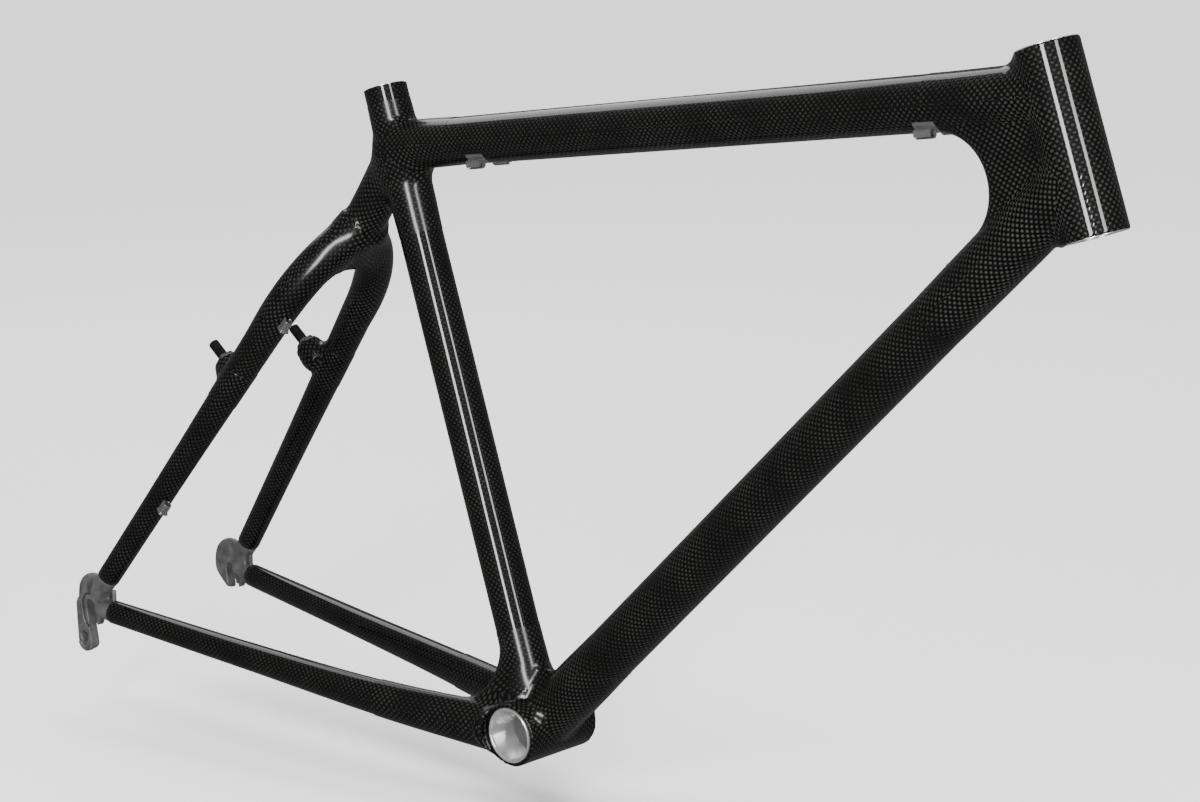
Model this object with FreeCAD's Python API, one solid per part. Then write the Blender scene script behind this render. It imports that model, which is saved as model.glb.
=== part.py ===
import FreeCAD, Part
import math
import os

from FreeCAD import Vector

# Mountain-bike frame in bonded carbon tube with aluminium inserts.
# Millimetres.  Origin at the centre of the bottom bracket, +X towards the front
# wheel, +Y to the rider's left, +Z up.

# ---- driving dimensions -------------------------------------------------------

SEAT_ANGLE = 72.6            # seat tube to the ground, degrees
HEAD_ANGLE = 71.5            # head tube to the ground, degrees
SEAT_TUBE_LENGTH = 471.0     # bottom bracket centre to the seat tube's top
HEAD_TUBE_LENGTH = 118.0
HEAD_BOTTOM_X = 470.0        # lower face of the head tube, forward of the origin
HEAD_BOTTOM_Z = 394.4        # and above it
TOP_TUBE_ON_SEAT = 427.0     # where the top tube's axis meets the seat tube's
TOP_TUBE_ON_HEAD = 88.0      # and the head tube's, from its lower face
TOP_TUBE_SETBACK = 7.0       # the top tube's mitre is trimmed square this far ahead
DOWN_TUBE_ON_HEAD = 38.5
REAR_AXLE_X = -422.5
REAR_AXLE_Z = 31.0
HUB_HALF_WIDTH = 67.5        # 135 mm between the dropouts

HEAD_RADIUS = 19.4
HEAD_WALL = 1.4
SEAT_RADIUS = 15.8
SEAT_WALL = 1.4
TOP_REAR_RADIUS = 16.8
TOP_FRONT_RADIUS = 18.2
TOP_REAR_STRAIGHT = 45.0     # lengths of the top tube's ends that don't taper
TOP_FRONT_STRAIGHT = 70.0
DOWN_RADIUS = 19.2
TUBE_WALL = 1.6

HEADSET_BORE_RADIUS = 17.0   # 34.0 mm cup seat of a 1-1/8 inch headset
HEADSET_SLEEVE_DEPTH = 22.0
HEADSET_FLANGE = 0.8
SEATPOST_RADIUS = 13.6       # 27.2 mm seatpost
SEATPOST_SLEEVE_LENGTH = 90.0

SHELL_HALF_WIDTH = 34.0      # 68 mm bottom bracket
SHELL_RADIUS = 22.0
SLEEVE_RADIUS = 19.9
BRACKET_BORE_RADIUS = 17.1
PASSAGE = 30.0               # kept clear beyond each end of the shell

WRAP = 0.8                   # extra radius of the carbon wraps over the joints
STAY_WALL = 1.5

DROPOUT_THICKNESS = 5.0
AXLE_SLOT_RADIUS = 5.1
SOCKET_RADIUS = 9.0
HANGER_BACK = 8.5            # derailleur hanger eye, behind the axle
HANGER_DOWN = 26.5           # and below it
HANGER_THREAD_RADIUS = 4.6   # M10 x 1

STUD_SPACING = 40.0          # each brake stud from the middle of the frame
STUD_FROM_AXLE = 248.5
STUD_RADIUS = 4.0
STUD_LENGTH = 17.0

# ---- main lines ---------------------------------------------------------------

ORIGIN = Vector(0, 0, 0)
SIDEWAYS = Vector(0, 1, 0)


def unit(vector):
    """The vector at a length of one."""
    return vector / vector.Length


def tube_direction(angle):
    """Unit vector up a tube that leans back from the ground by this angle."""
    return Vector(-math.cos(math.radians(angle)), 0, math.sin(math.radians(angle)))


seat_up = tube_direction(SEAT_ANGLE)
head_up = tube_direction(HEAD_ANGLE)
seat_top = seat_up * SEAT_TUBE_LENGTH
head_bottom = Vector(HEAD_BOTTOM_X, 0, HEAD_BOTTOM_Z)
head_top = head_bottom + head_up * HEAD_TUBE_LENGTH
top_rear = seat_up * TOP_TUBE_ON_SEAT
top_front = head_bottom + head_up * TOP_TUBE_ON_HEAD
down_front = head_bottom + head_up * DOWN_TUBE_ON_HEAD
rear_axle = Vector(REAR_AXLE_X, 0, REAR_AXLE_Z)
top_forward = unit(top_front - top_rear)
down_forward = unit(down_front)

# The seatstays, yoke and brake studs lie in one plane through the rear axle.
# stay_up runs up that plane and stay_back is its normal, towards the rear.
STAY_SLOPE = 50.9
stay_up = Vector(math.cos(math.radians(STAY_SLOPE)), 0, math.sin(math.radians(STAY_SLOPE)))
stay_back = Vector(-stay_up.z, 0, stay_up.x)


def on_stay_plane(up, side, back=0.0):
    """A point so far up from the axle, out to the side and behind the stay plane."""
    return rear_axle + stay_up * up + SIDEWAYS * side + stay_back * back


# ---- basic shapes -------------------------------------------------------------

def rod(start, end, start_radius, end_radius=None):
    """A solid round bar, straight or tapered."""
    axis = end - start
    if end_radius is None or abs(end_radius - start_radius) < 1e-6:
        return Part.makeCylinder(start_radius, axis.Length, start, axis)
    return Part.makeCone(start_radius, end_radius, axis.Length, start, axis)


def tube(start, end, outer_radius, inner_radius):
    """A round tube of constant section."""
    return rod(start, end, outer_radius).cut(rod(start, end, inner_radius))


def oval(centre, axis, half_height, half_width):
    """An oval wire across axis; half_width is measured along Y as near as it can be."""
    along = unit(axis)
    across = unit(SIDEWAYS - along * along.dot(SIDEWAYS))
    upright = along.cross(across)
    major, minor = half_height, half_width
    major_dir, minor_dir = upright, across
    if half_width > half_height:
        major, minor = half_width, half_height
        major_dir, minor_dir = across, upright
    if major - minor < 1e-6:
        return Part.Wire(Part.Circle(centre, along, major).toShape())
    ellipse = Part.Ellipse(centre + major_dir * major, centre + minor_dir * minor, centre)
    return Part.Wire(ellipse.toShape())


def lofted(stations, shrink=0.0):
    """A solid through (centre, half height, half width) stations, each less shrink."""
    centres = [station[0] for station in stations]
    wires = []
    for index, (centre, half_height, half_width) in enumerate(stations):
        before = centres[max(index - 1, 0)]
        after = centres[min(index + 1, len(centres) - 1)]
        wires.append(oval(centre, after - before, half_height - shrink, half_width - shrink))
    return Part.makeLoft(wires, True, False)


def fuse_all(shapes):
    """One solid from several that overlap."""
    joined = shapes[0].multiFuse(shapes[1:])
    return joined.removeSplitter()


def wrapped(shapes, radius):
    """A carbon wrap: overlapping shapes as one, their meeting lines filled to a radius."""
    joined = fuse_all(shapes)
    seams = [edge for edge in joined.Edges if edge.Curve.__class__.__name__ == "BSplineCurve"]
    return joined.makeFillet(radius, seams)


def cut_all(shape, tools):
    """The shape less every tool."""
    for tool in tools:
        shape = shape.cut(tool)
    return shape


def largest_solid(shape):
    """The main body of a cut, without the loose chips beyond it."""
    return max(shape.Solids, key=lambda solid: solid.Volume)


def mirrored(shape):
    """The same shape on the other side of the frame."""
    return shape.mirror(ORIGIN, SIDEWAYS)


parts = {}

# ---- envelopes of the tubes, solid, used to mitre them against each other ------

head_solid = rod(head_bottom, head_top, HEAD_RADIUS)
seat_solid = rod(ORIGIN, seat_top, SEAT_RADIUS)
shell_low = Vector(0, -SHELL_HALF_WIDTH, 0)
shell_high = Vector(0, SHELL_HALF_WIDTH, 0)
shell_solid = rod(shell_low, shell_high, SHELL_RADIUS)
# the same bar run on at both ends, so that the way in to the bearings stays clear
shell_passage = rod(shell_low - SIDEWAYS * PASSAGE, shell_high + SIDEWAYS * PASSAGE, SHELL_RADIUS)
down_solid = rod(ORIGIN, down_front, DOWN_RADIUS)


def top_tube_bar(shrink):
    """The top tube as a solid bar: straight ends with a taper between them."""
    start = top_rear + top_forward * TOP_TUBE_SETBACK
    taper_start = start + top_forward * TOP_REAR_STRAIGHT
    taper_end = top_front - top_forward * TOP_FRONT_STRAIGHT
    small = TOP_REAR_RADIUS - shrink
    large = TOP_FRONT_RADIUS - shrink
    rear_end = rod(start, taper_start, small)
    taper = rod(taper_start, taper_end, small, large)
    front_end = rod(taper_end, top_front, large)
    return rear_end.fuse(taper).fuse(front_end)


top_solid = top_tube_bar(0.0)

# ---- head tube and its two headset sleeves -------------------------------------

sleeve_outer = HEAD_RADIUS - HEAD_WALL
carbon_bottom = head_bottom + head_up * HEADSET_FLANGE
carbon_top = head_top - head_up * HEADSET_FLANGE
parts["head_tube"] = tube(carbon_bottom, carbon_top, HEAD_RADIUS, sleeve_outer)


def headset_sleeve(face, inwards):
    """A bonded aluminium sleeve: a thin flange on the tube's end and a cup seat."""
    outline = [
        face + SIDEWAYS * HEADSET_BORE_RADIUS,
        face + SIDEWAYS * HEAD_RADIUS,
        face + inwards * HEADSET_FLANGE + SIDEWAYS * HEAD_RADIUS,
        face + inwards * HEADSET_FLANGE + SIDEWAYS * sleeve_outer,
        face + inwards * HEADSET_SLEEVE_DEPTH + SIDEWAYS * sleeve_outer,
        face + inwards * HEADSET_SLEEVE_DEPTH + SIDEWAYS * HEADSET_BORE_RADIUS,
    ]
    section = Part.Face(Part.makePolygon(outline + outline[:1]))
    return section.revolve(face, inwards, 360)


parts["headset_sleeve_lower"] = headset_sleeve(head_bottom, head_up)
parts["headset_sleeve_upper"] = headset_sleeve(head_top, head_up * -1)

# ---- main tubes -----------------------------------------------------------------

seat_inner = SEAT_RADIUS - SEAT_WALL
seat_tube = tube(ORIGIN, seat_top, SEAT_RADIUS, seat_inner)
parts["seat_tube"] = largest_solid(cut_all(seat_tube, [shell_solid, down_solid]))
sleeve_foot = seat_top - seat_up * SEATPOST_SLEEVE_LENGTH
parts["seatpost_sleeve"] = tube(sleeve_foot, seat_top, seat_inner, SEATPOST_RADIUS)

parts["top_tube"] = largest_solid(cut_all(top_solid, [top_tube_bar(TUBE_WALL), seat_solid, head_solid]))

down_inner = rod(ORIGIN, down_front, DOWN_RADIUS - TUBE_WALL)
parts["down_tube"] = largest_solid(cut_all(down_solid, [down_inner, shell_solid, head_solid]))

# ---- bottom bracket -------------------------------------------------------------

parts["bottom_bracket_shell"] = tube(shell_low, shell_high, SHELL_RADIUS, SLEEVE_RADIUS)
parts["bottom_bracket_sleeve"] = tube(shell_low, shell_high, SLEEVE_RADIUS, BRACKET_BORE_RADIUS)

# ---- chainstays -----------------------------------------------------------------

CHAINSTAY_REAR = Vector(REAR_AXLE_X + 25.0, 71.0, 29.0)
CHAINSTAY_MIDDLE = Vector(-250.0, 56.5, 16.5)
CHAINSTAY_WAIST = Vector(-110.0, 40.5, 5.0)
CHAINSTAY_FRONT = Vector(-14.0, 22.5, -1.5)
CHAINSTAY_STATIONS = [
    (CHAINSTAY_REAR, 9.1, 9.1),
    (CHAINSTAY_MIDDLE, 10.6, 10.6),
    (CHAINSTAY_WAIST, 14.0, 11.0),
    (CHAINSTAY_FRONT, 18.0, 10.5),
]
chainstay_solid = lofted(CHAINSTAY_STATIONS)
chainstay = chainstay_solid.cut(lofted(CHAINSTAY_STATIONS, STAY_WALL))
chainstay = largest_solid(cut_all(chainstay, [shell_passage, seat_solid, down_solid]))
parts["chainstay_left"] = chainstay
parts["chainstay_right"] = mirrored(chainstay)

# ---- seatstays ------------------------------------------------------------------

STAY_SIDE_AT_AXLE = 75.0     # stay axis to the middle plane, level with the axle
STAY_SIDE_GAIN = 0.0980      # how much that shrinks for each millimetre up the stay


def stay_axis(up):
    """The left seatstay's axis, so far up from the axle."""
    return on_stay_plane(up, STAY_SIDE_AT_AXLE - STAY_SIDE_GAIN * up)


SEATSTAY_FOOT = 33.5
SEATSTAY_MIDDLE = 150.0
SEATSTAY_HEAD = 306.0
SEATSTAY_STATIONS = [
    (stay_axis(SEATSTAY_FOOT), 9.0, 9.0),
    (stay_axis(SEATSTAY_MIDDLE), 10.0, 10.0),
    (stay_axis(SEATSTAY_HEAD), 12.6, 12.6),
]
seatstay_solid = lofted(SEATSTAY_STATIONS)
seatstay = seatstay_solid.cut(lofted(SEATSTAY_STATIONS, STAY_WALL))

# ---- yoke: two legs that join in a flat crown, and the single stay above it -----

YOKE_LEG_TOP = 352.0
MONOSTAY_TOP = 462.0

leg = lofted([
    (stay_axis(SEATSTAY_HEAD), 12.6, 12.6),
    (stay_axis(330.0), 13.6, 13.6),
    (on_stay_plane(YOKE_LEG_TOP, 37.0, 0.5), 14.0, 14.0),
    (on_stay_plane(375.0, 26.0, 1.5), 14.2, 14.0),
    (on_stay_plane(398.0, 9.0, 2.5), 14.5, 12.0),
])
monostay = lofted([
    (on_stay_plane(375.0, 0.0, 2.0), 13.6, 22.0),
    (on_stay_plane(400.0, 0.0, 3.0), 14.6, 17.0),
    (on_stay_plane(430.0, 0.0, 4.0), 15.5, 14.5),
    (on_stay_plane(MONOSTAY_TOP, 0.0, 5.0), 17.0, 14.0),
])
yoke = fuse_all([leg, mirrored(leg), monostay])
parts["monostay_yoke"] = largest_solid(yoke.cut(seat_solid))

# ---- brake bosses, inserts, spring plates and studs ------------------------------

BOSS_RADIUS = 10.5
BOSS_BACK = 22.5             # how far the boss stands behind the stay plane
INSERT_RADIUS = 6.5
INSERT_LENGTH = 16.0
SPRING_PLATE_RADIUS = 8.4
SPRING_PLATE_THICKNESS = 2.5
STUD_COLLAR_RADIUS = 5.0     # the stud's shoulder, as thick as the spring plate
SPRING_HOLE_RADIUS = 0.9
SPRING_HOLE_PITCH = 6.7
STUD_THREAD_RADIUS = 3.2
STUD_THREAD_LENGTH = 10.0
STUD_TAP_RADIUS = 2.5        # M6 fixing bolt
STUD_TAP_DEPTH = 12.0


def at_stud(back):
    """A point on the left brake stud's axis, so far behind the stay plane."""
    return on_stay_plane(STUD_FROM_AXLE, STUD_SPACING, back)


boss = rod(at_stud(0.0), at_stud(BOSS_BACK), BOSS_RADIUS)
boss_foot = Part.makeSphere(BOSS_RADIUS, at_stud(0.0))
boss = boss.fuse(boss_foot).removeSplitter()
insert_bore = rod(at_stud(BOSS_BACK - INSERT_LENGTH), at_stud(BOSS_BACK), INSERT_RADIUS)
boss = largest_solid(cut_all(boss, [seatstay_solid, insert_bore]))

stud_tap = rod(at_stud(BOSS_BACK - STUD_THREAD_LENGTH), at_stud(BOSS_BACK), STUD_THREAD_RADIUS)
insert = insert_bore.cut(stud_tap)
insert = largest_solid(insert.cut(seatstay_solid))

plate_top = BOSS_BACK + SPRING_PLATE_THICKNESS
spring_plate = tube(at_stud(BOSS_BACK), at_stud(plate_top), SPRING_PLATE_RADIUS, STUD_COLLAR_RADIUS)
for turn in (-40.0, 0.0, 40.0):
    spoke = stay_up * math.cos(math.radians(turn)) + SIDEWAYS * math.sin(math.radians(turn))
    hole_foot = at_stud(BOSS_BACK) + spoke * SPRING_HOLE_PITCH
    hole = rod(hole_foot, hole_foot + stay_back * SPRING_PLATE_THICKNESS, SPRING_HOLE_RADIUS)
    spring_plate = spring_plate.cut(hole)

stud_tip = plate_top + STUD_LENGTH
stud = rod(at_stud(plate_top), at_stud(stud_tip), STUD_RADIUS)
stud = stud.fuse(rod(at_stud(BOSS_BACK), at_stud(plate_top), STUD_COLLAR_RADIUS))
stud = stud.fuse(rod(at_stud(BOSS_BACK - STUD_THREAD_LENGTH), at_stud(BOSS_BACK), STUD_THREAD_RADIUS))
stud = stud.cut(rod(at_stud(stud_tip - STUD_TAP_DEPTH), at_stud(stud_tip), STUD_TAP_RADIUS))

brake_pieces = {
    "brake_boss": boss,
    "stud_insert": insert,
    "spring_plate": spring_plate,
    "brake_stud": stud,
}
for name, shape in brake_pieces.items():
    parts[name + "_left"] = shape
    parts[name + "_right"] = mirrored(shape)
parts["seatstay_left"] = seatstay
parts["seatstay_right"] = mirrored(seatstay)

# ---- dropouts -------------------------------------------------------------------

HOOD_RADIUS = 18.9
HOOD_FORWARD = 0.5           # middle of the rounded hood, from the axle
HOOD_UP = 6.5
SLOT_DEPTH = 40.0
SLOT_LEAN = 9.5              # the slot runs down and this many degrees forward
COLLAR_RADIUS = 9.2          # raised face round the slot that the hub nut bites on
COLLAR_HEIGHT = 1.3
PRONG_HALF_WIDTH = 12.5
PRONG_DOWN = 11.0
PRONG_CORNER = 4.5
PLUG_RADIUS = 7.3            # tongue bonded inside each hollow stay
PLUG_LENGTH = 18.0
STRUT_RADIUS = 1.9
HANGER_EYE_RADIUS = 9.0
HANGER_THICKNESS = 7.5

mid_plate = HUB_HALF_WIDTH + DROPOUT_THICKNESS / 2


def from_axle(forward, up, side):
    """A point measured from the rear axle, so far out from the middle plane."""
    return rear_axle + Vector(forward, side, up)


def across_plate(forward, up, radius, low, high):
    """A round bar along Y between two distances from the middle plane."""
    return rod(from_axle(forward, up, low), from_axle(forward, up, high), radius)


def flat_bar(start, end, radius, low, high):
    """A plate with round ends between two (forward, up) points."""
    along = Vector(end[0] - start[0], 0, end[1] - start[1])
    across = unit(Vector(-along.z, 0, along.x)) * radius
    corner = from_axle(start[0], start[1], low)
    outline = [corner + across, corner + across + along, corner - across + along, corner - across]
    face = Part.Face(Part.makePolygon(outline + outline[:1]))
    web = face.extrude(SIDEWAYS * (high - low))
    ends = [across_plate(point[0], point[1], radius, low, high) for point in (start, end)]
    return fuse_all([web] + ends)


outer_face = HUB_HALF_WIDTH + DROPOUT_THICKNESS
slot_end = (SLOT_DEPTH * math.sin(math.radians(SLOT_LEAN)), -SLOT_DEPTH * math.cos(math.radians(SLOT_LEAN)))
axle_slot = flat_bar((0, 0), slot_end, AXLE_SLOT_RADIUS, HUB_HALF_WIDTH - 5, outer_face + 10)
collar_end = (slot_end[0] * 0.2, slot_end[1] * 0.2)

seatstay_foot = stay_axis(SEATSTAY_FOOT)
seatstay_along = unit(stay_axis(SEATSTAY_MIDDLE) - seatstay_foot)
chainstay_along = unit(CHAINSTAY_MIDDLE - CHAINSTAY_REAR)


def stay_socket(stay_end, along, reach):
    """The shoulder that a stay butts on, and the tongue inside the stay."""
    shoulder = rod(stay_end - along * reach, stay_end, SOCKET_RADIUS * 0.78, SOCKET_RADIUS)
    tongue = rod(stay_end, stay_end + along * PLUG_LENGTH, PLUG_RADIUS)
    return shoulder.fuse(tongue)


LUG_BACK = 7.5               # the plate's middle, behind and ahead of the axle
LUG_FORWARD = 9.5
LUG_HALF_HEIGHT = 8.0
STRUT_FORWARD = 28.0         # the strut between the two stay sockets
STRUT_HIGH = 19.5
STRUT_LOW = 7.5
SEATSTAY_SHOULDER = 18.0     # how far each socket reaches back into the plate
CHAINSTAY_SHOULDER = 16.0

hood = across_plate(HOOD_FORWARD, HOOD_UP, HOOD_RADIUS, HUB_HALF_WIDTH, outer_face)
lug_low = flat_bar(
    (PRONG_CORNER - PRONG_HALF_WIDTH, PRONG_CORNER - PRONG_DOWN),
    (PRONG_HALF_WIDTH - PRONG_CORNER, PRONG_CORNER - PRONG_DOWN),
    PRONG_CORNER, HUB_HALF_WIDTH, outer_face)
lug_high = flat_bar((-LUG_BACK, 0), (LUG_FORWARD, 0), LUG_HALF_HEIGHT, HUB_HALF_WIDTH, outer_face)
collar = flat_bar((0, 0), collar_end, COLLAR_RADIUS, HUB_HALF_WIDTH, outer_face + COLLAR_HEIGHT)
strut = rod(
    from_axle(STRUT_FORWARD, STRUT_HIGH, mid_plate),
    from_axle(STRUT_FORWARD - 1.0, STRUT_LOW, mid_plate), STRUT_RADIUS)
dropout = fuse_all([
    hood,
    lug_low,
    lug_high,
    collar,
    stay_socket(seatstay_foot, seatstay_along, SEATSTAY_SHOULDER),
    stay_socket(CHAINSTAY_REAR, chainstay_along, CHAINSTAY_SHOULDER),
    strut,
])
chainstay_bore = lofted(CHAINSTAY_STATIONS, STAY_WALL)
seatstay_bore = lofted(SEATSTAY_STATIONS, STAY_WALL)
stay_walls = [chainstay_solid.cut(chainstay_bore), seatstay_solid.cut(seatstay_bore)]
plain_dropout = largest_solid(cut_all(dropout, stay_walls + [axle_slot]))
parts["dropout_left"] = plain_dropout

HANGER_PROUD = 3.5           # the hanger's outer face, out from the plate's
HANGER_ARM_TOP = 4.0         # the arm's root, below the axle
HANGER_STOP_BACK = 6.5       # the derailleur stop, from the eye
HANGER_STOP_DOWN = 7.5
HANGER_STOP_RADIUS = 2.2
HANGER_STOP_HEIGHT = 4.0
hanger_high = outer_face + HANGER_PROUD
hanger_low = hanger_high - HANGER_THICKNESS
hanger_arm = flat_bar(
    (-HANGER_BACK, -HANGER_ARM_TOP), (-HANGER_BACK, -HANGER_DOWN), HANGER_EYE_RADIUS,
    hanger_low, hanger_high)
hanger_stop = across_plate(
    -HANGER_BACK - HANGER_STOP_BACK, -HANGER_DOWN - HANGER_STOP_DOWN, HANGER_STOP_RADIUS,
    hanger_low, hanger_low + HANGER_STOP_HEIGHT)
hanger_hole = across_plate(-HANGER_BACK, -HANGER_DOWN, HANGER_THREAD_RADIUS, hanger_low - 1, hanger_high + 1)
with_hanger = fuse_all([dropout, hanger_arm, hanger_stop])
with_hanger = largest_solid(cut_all(with_hanger, stay_walls + [axle_slot, hanger_hole]))
parts["dropout_right"] = mirrored(with_hanger)

# ---- cable stops and guides -------------------------------------------------------

STOP_BARREL_RADIUS = 3.5
STOP_SOCKET_RADIUS = 2.6     # seats a 5 mm cable housing
STOP_CABLE_RADIUS = 0.9
STOP_LENGTH = 13.0
STOP_SOCKET_DEPTH = 9.5
STOP_FOOT_WIDTH = 4.6
STOP_SADDLE_WIDTH = 11.0
STOP_SADDLE_THICKNESS = 0.9
STOP_TURN = 38.0             # each stop's place round the top tube, from its underside


def cable_stop(axis_point, along, outward, tube_radius, tube_envelope):
    """A split barrel on a foot, with a thin saddle bonded to a tube's skin."""
    across = along.cross(outward)
    lift = tube_radius + STOP_BARREL_RADIUS + 0.5
    back = axis_point + outward * lift - along * (STOP_LENGTH / 2)
    front = back + along * STOP_LENGTH
    barrel = rod(back, front, STOP_BARREL_RADIUS)
    foot_corner = axis_point - along * (STOP_LENGTH / 2) - across * (STOP_FOOT_WIDTH / 2)
    foot_outline = [
        foot_corner,
        foot_corner + along * STOP_LENGTH,
        foot_corner + along * STOP_LENGTH + across * STOP_FOOT_WIDTH,
        foot_corner + across * STOP_FOOT_WIDTH,
    ]
    foot = Part.Face(Part.makePolygon(foot_outline + foot_outline[:1])).extrude(outward * lift)
    skin = rod(
        axis_point - along * (STOP_LENGTH / 2 + 1.5),
        axis_point + along * (STOP_LENGTH / 2 + 1.5),
        tube_radius + STOP_SADDLE_THICKNESS)
    side = STOP_SADDLE_WIDTH / 2
    patch_corner = axis_point - along * STOP_LENGTH - across * side
    patch_outline = [
        patch_corner,
        patch_corner + along * (2 * STOP_LENGTH),
        patch_corner + along * (2 * STOP_LENGTH) + across * (2 * side),
        patch_corner + across * (2 * side),
    ]
    patch = Part.Face(Part.makePolygon(patch_outline + patch_outline[:1])).extrude(outward * (2 * lift))
    body = fuse_all([barrel, foot, skin.common(patch)])
    socket = rod(front - along * STOP_SOCKET_DEPTH, front, STOP_SOCKET_RADIUS)
    cable_hole = rod(back, front, STOP_CABLE_RADIUS)
    slit_corner = back - across * STOP_CABLE_RADIUS
    slit_outline = [
        slit_corner,
        slit_corner + along * STOP_LENGTH,
        slit_corner + along * STOP_LENGTH + across * (2 * STOP_CABLE_RADIUS),
        slit_corner + across * (2 * STOP_CABLE_RADIUS),
    ]
    slit = Part.Face(Part.makePolygon(slit_outline + slit_outline[:1])).extrude(outward * lift)
    return largest_solid(cut_all(body, [socket, cable_hole, slit, tube_envelope]))


STOP_FRONT_X = 351.5         # how far forward each pair of stops sits
STOP_REAR_X = -39.0
top_under = Vector(top_forward.z, 0, -top_forward.x)
stop_places = (
    ("front", STOP_FRONT_X, 1, TOP_FRONT_RADIUS),
    ("rear", STOP_REAR_X, -1, TOP_REAR_RADIUS),
)
for place, forward, facing, skin_radius in stop_places:
    reach = (forward - top_rear.x) / top_forward.x
    turn = math.radians(STOP_TURN)
    outward = top_under * math.cos(turn) + SIDEWAYS * math.sin(turn)
    stop = cable_stop(
        top_rear + top_forward * reach, top_forward * facing, outward, skin_radius, top_solid)
    parts["cable_stop_" + place + "_left"] = stop
    parts["cable_stop_" + place + "_right"] = mirrored(stop)

GUIDE_TURN = 18.0            # each seatstay guide's place, outboard of the stay's front
guide_places = {
    "seatstay_guide_lower": (126.0, seatstay_solid, 9.8),
    "seatstay_guide_upper": (326.0, leg, 13.4),
}
for name, (up, envelope, skin_radius) in guide_places.items():
    turn = math.radians(GUIDE_TURN)
    along = seatstay_along
    rough_outward = stay_back * -math.cos(turn) + SIDEWAYS * math.sin(turn)
    outward = unit(rough_outward - along * along.dot(rough_outward))
    guide = cable_stop(stay_axis(up), along, outward, skin_radius, envelope)
    parts[name] = mirrored(guide)

# ---- carbon wraps over the joints ---------------------------------------------------

GUSSET_RADIUS = 35.0
GUSSET_HALF_WIDTH = 12.0
GUSSET_EDGE = 7.0
GUSSET_ROOT = 12.0           # how deep the gusset runs into the tubes it joins
GUSSET_START = 12.0          # degrees round the hollow where it rises out of the wrap
HEAD_WRAP_ON_TOP = 78.0      # how far the head wrap runs back along each tube
HEAD_WRAP_ON_DOWN = 140.0
HEAD_FILLET = 11.0

head_sleeve = rod(carbon_bottom, carbon_top, HEAD_RADIUS + WRAP)
top_cover = rod(
    top_front - top_forward * HEAD_WRAP_ON_TOP, top_front,
    TOP_FRONT_RADIUS + WRAP - 0.2, TOP_FRONT_RADIUS + WRAP)
down_cover = rod(down_front - down_forward * HEAD_WRAP_ON_DOWN, down_front, DOWN_RADIUS + WRAP)
head_cover = wrapped([head_sleeve, top_cover, down_cover], HEAD_FILLET)

# The gusset's hollow is a circle that touches the top tube's underside and the
# down tube's upper side; over and under are those sides' outward directions.
down_over = Vector(-down_forward.z, 0, down_forward.x)
reach_top = top_front.dot(top_under) + TOP_FRONT_RADIUS + GUSSET_RADIUS
reach_down = DOWN_RADIUS + GUSSET_RADIUS
spread = top_under.x * down_over.z - top_under.z * down_over.x
gusset_centre = Vector(
    (reach_top * down_over.z - top_under.z * reach_down) / spread,
    0,
    (top_under.x * reach_down - reach_top * down_over.x) / spread)

start = math.radians(GUSSET_START)
over_start = top_forward * math.sin(start) - top_under * math.cos(start)
under_start = down_forward * math.sin(start) - down_over * math.cos(start)
gusset_outline = [
    gusset_centre,
    gusset_centre + over_start * (GUSSET_RADIUS + GUSSET_ROOT),
    top_front,
    down_front,
    gusset_centre + under_start * (GUSSET_RADIUS + GUSSET_ROOT),
]
gusset = Part.Face(Part.makePolygon(gusset_outline + gusset_outline[:1]))
gusset = gusset.extrude(SIDEWAYS * (2 * GUSSET_HALF_WIDTH))
gusset.translate(SIDEWAYS * -GUSSET_HALF_WIDTH)
hollow_low = gusset_centre - SIDEWAYS * (2 * GUSSET_HALF_WIDTH)
hollow_high = gusset_centre + SIDEWAYS * (2 * GUSSET_HALF_WIDTH)
gusset = gusset.cut(rod(hollow_low, hollow_high, GUSSET_RADIUS))
rim_edges = [edge for edge in gusset.Edges if edge.Curve.__class__.__name__ == "Circle"]
gusset = gusset.makeFillet(GUSSET_EDGE, rim_edges)
head_wrap = head_cover.fuse(gusset)
head_wrap = largest_solid(cut_all(head_wrap, [head_solid, top_solid, down_solid]))
parts["head_joint_wrap"] = head_wrap

SEAT_WRAP_LOW = 362.0        # the seat wrap's reach along the seat tube
SEAT_WRAP_HIGH = 459.0
SEAT_WRAP_ON_TOP = 62.0
SEAT_WRAP = 1.0              # a thicker wrap than at the other joints
SEAT_FILLET = 10.0

seat_cover = rod(seat_up * SEAT_WRAP_LOW, seat_up * SEAT_WRAP_HIGH, SEAT_RADIUS + SEAT_WRAP)
top_collar = rod(
    top_rear, top_rear + top_forward * SEAT_WRAP_ON_TOP,
    SEAT_RADIUS + SEAT_WRAP - 0.1, TOP_REAR_RADIUS + WRAP)
MONOSTAY_COVER = [
    (on_stay_plane(404.0, 0.0, 3.1), 14.7 + SEAT_WRAP, 16.6 + SEAT_WRAP),
    (on_stay_plane(430.0, 0.0, 4.0), 15.5 + SEAT_WRAP, 14.5 + SEAT_WRAP),
    (on_stay_plane(470.0, 0.0, 5.3), 17.3 + SEAT_WRAP, 13.9 + SEAT_WRAP),
]
seat_wrap = wrapped([seat_cover, top_collar, lofted(MONOSTAY_COVER)], SEAT_FILLET)
seat_wrap = cut_all(seat_wrap, [seat_solid, top_solid, yoke])
parts["seat_joint_wrap"] = largest_solid(seat_wrap)

BRACKET_WRAP_ON_SEAT = 72.0
BRACKET_WRAP_ON_DOWN = 95.0
BRACKET_FILLET = 10.0

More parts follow.
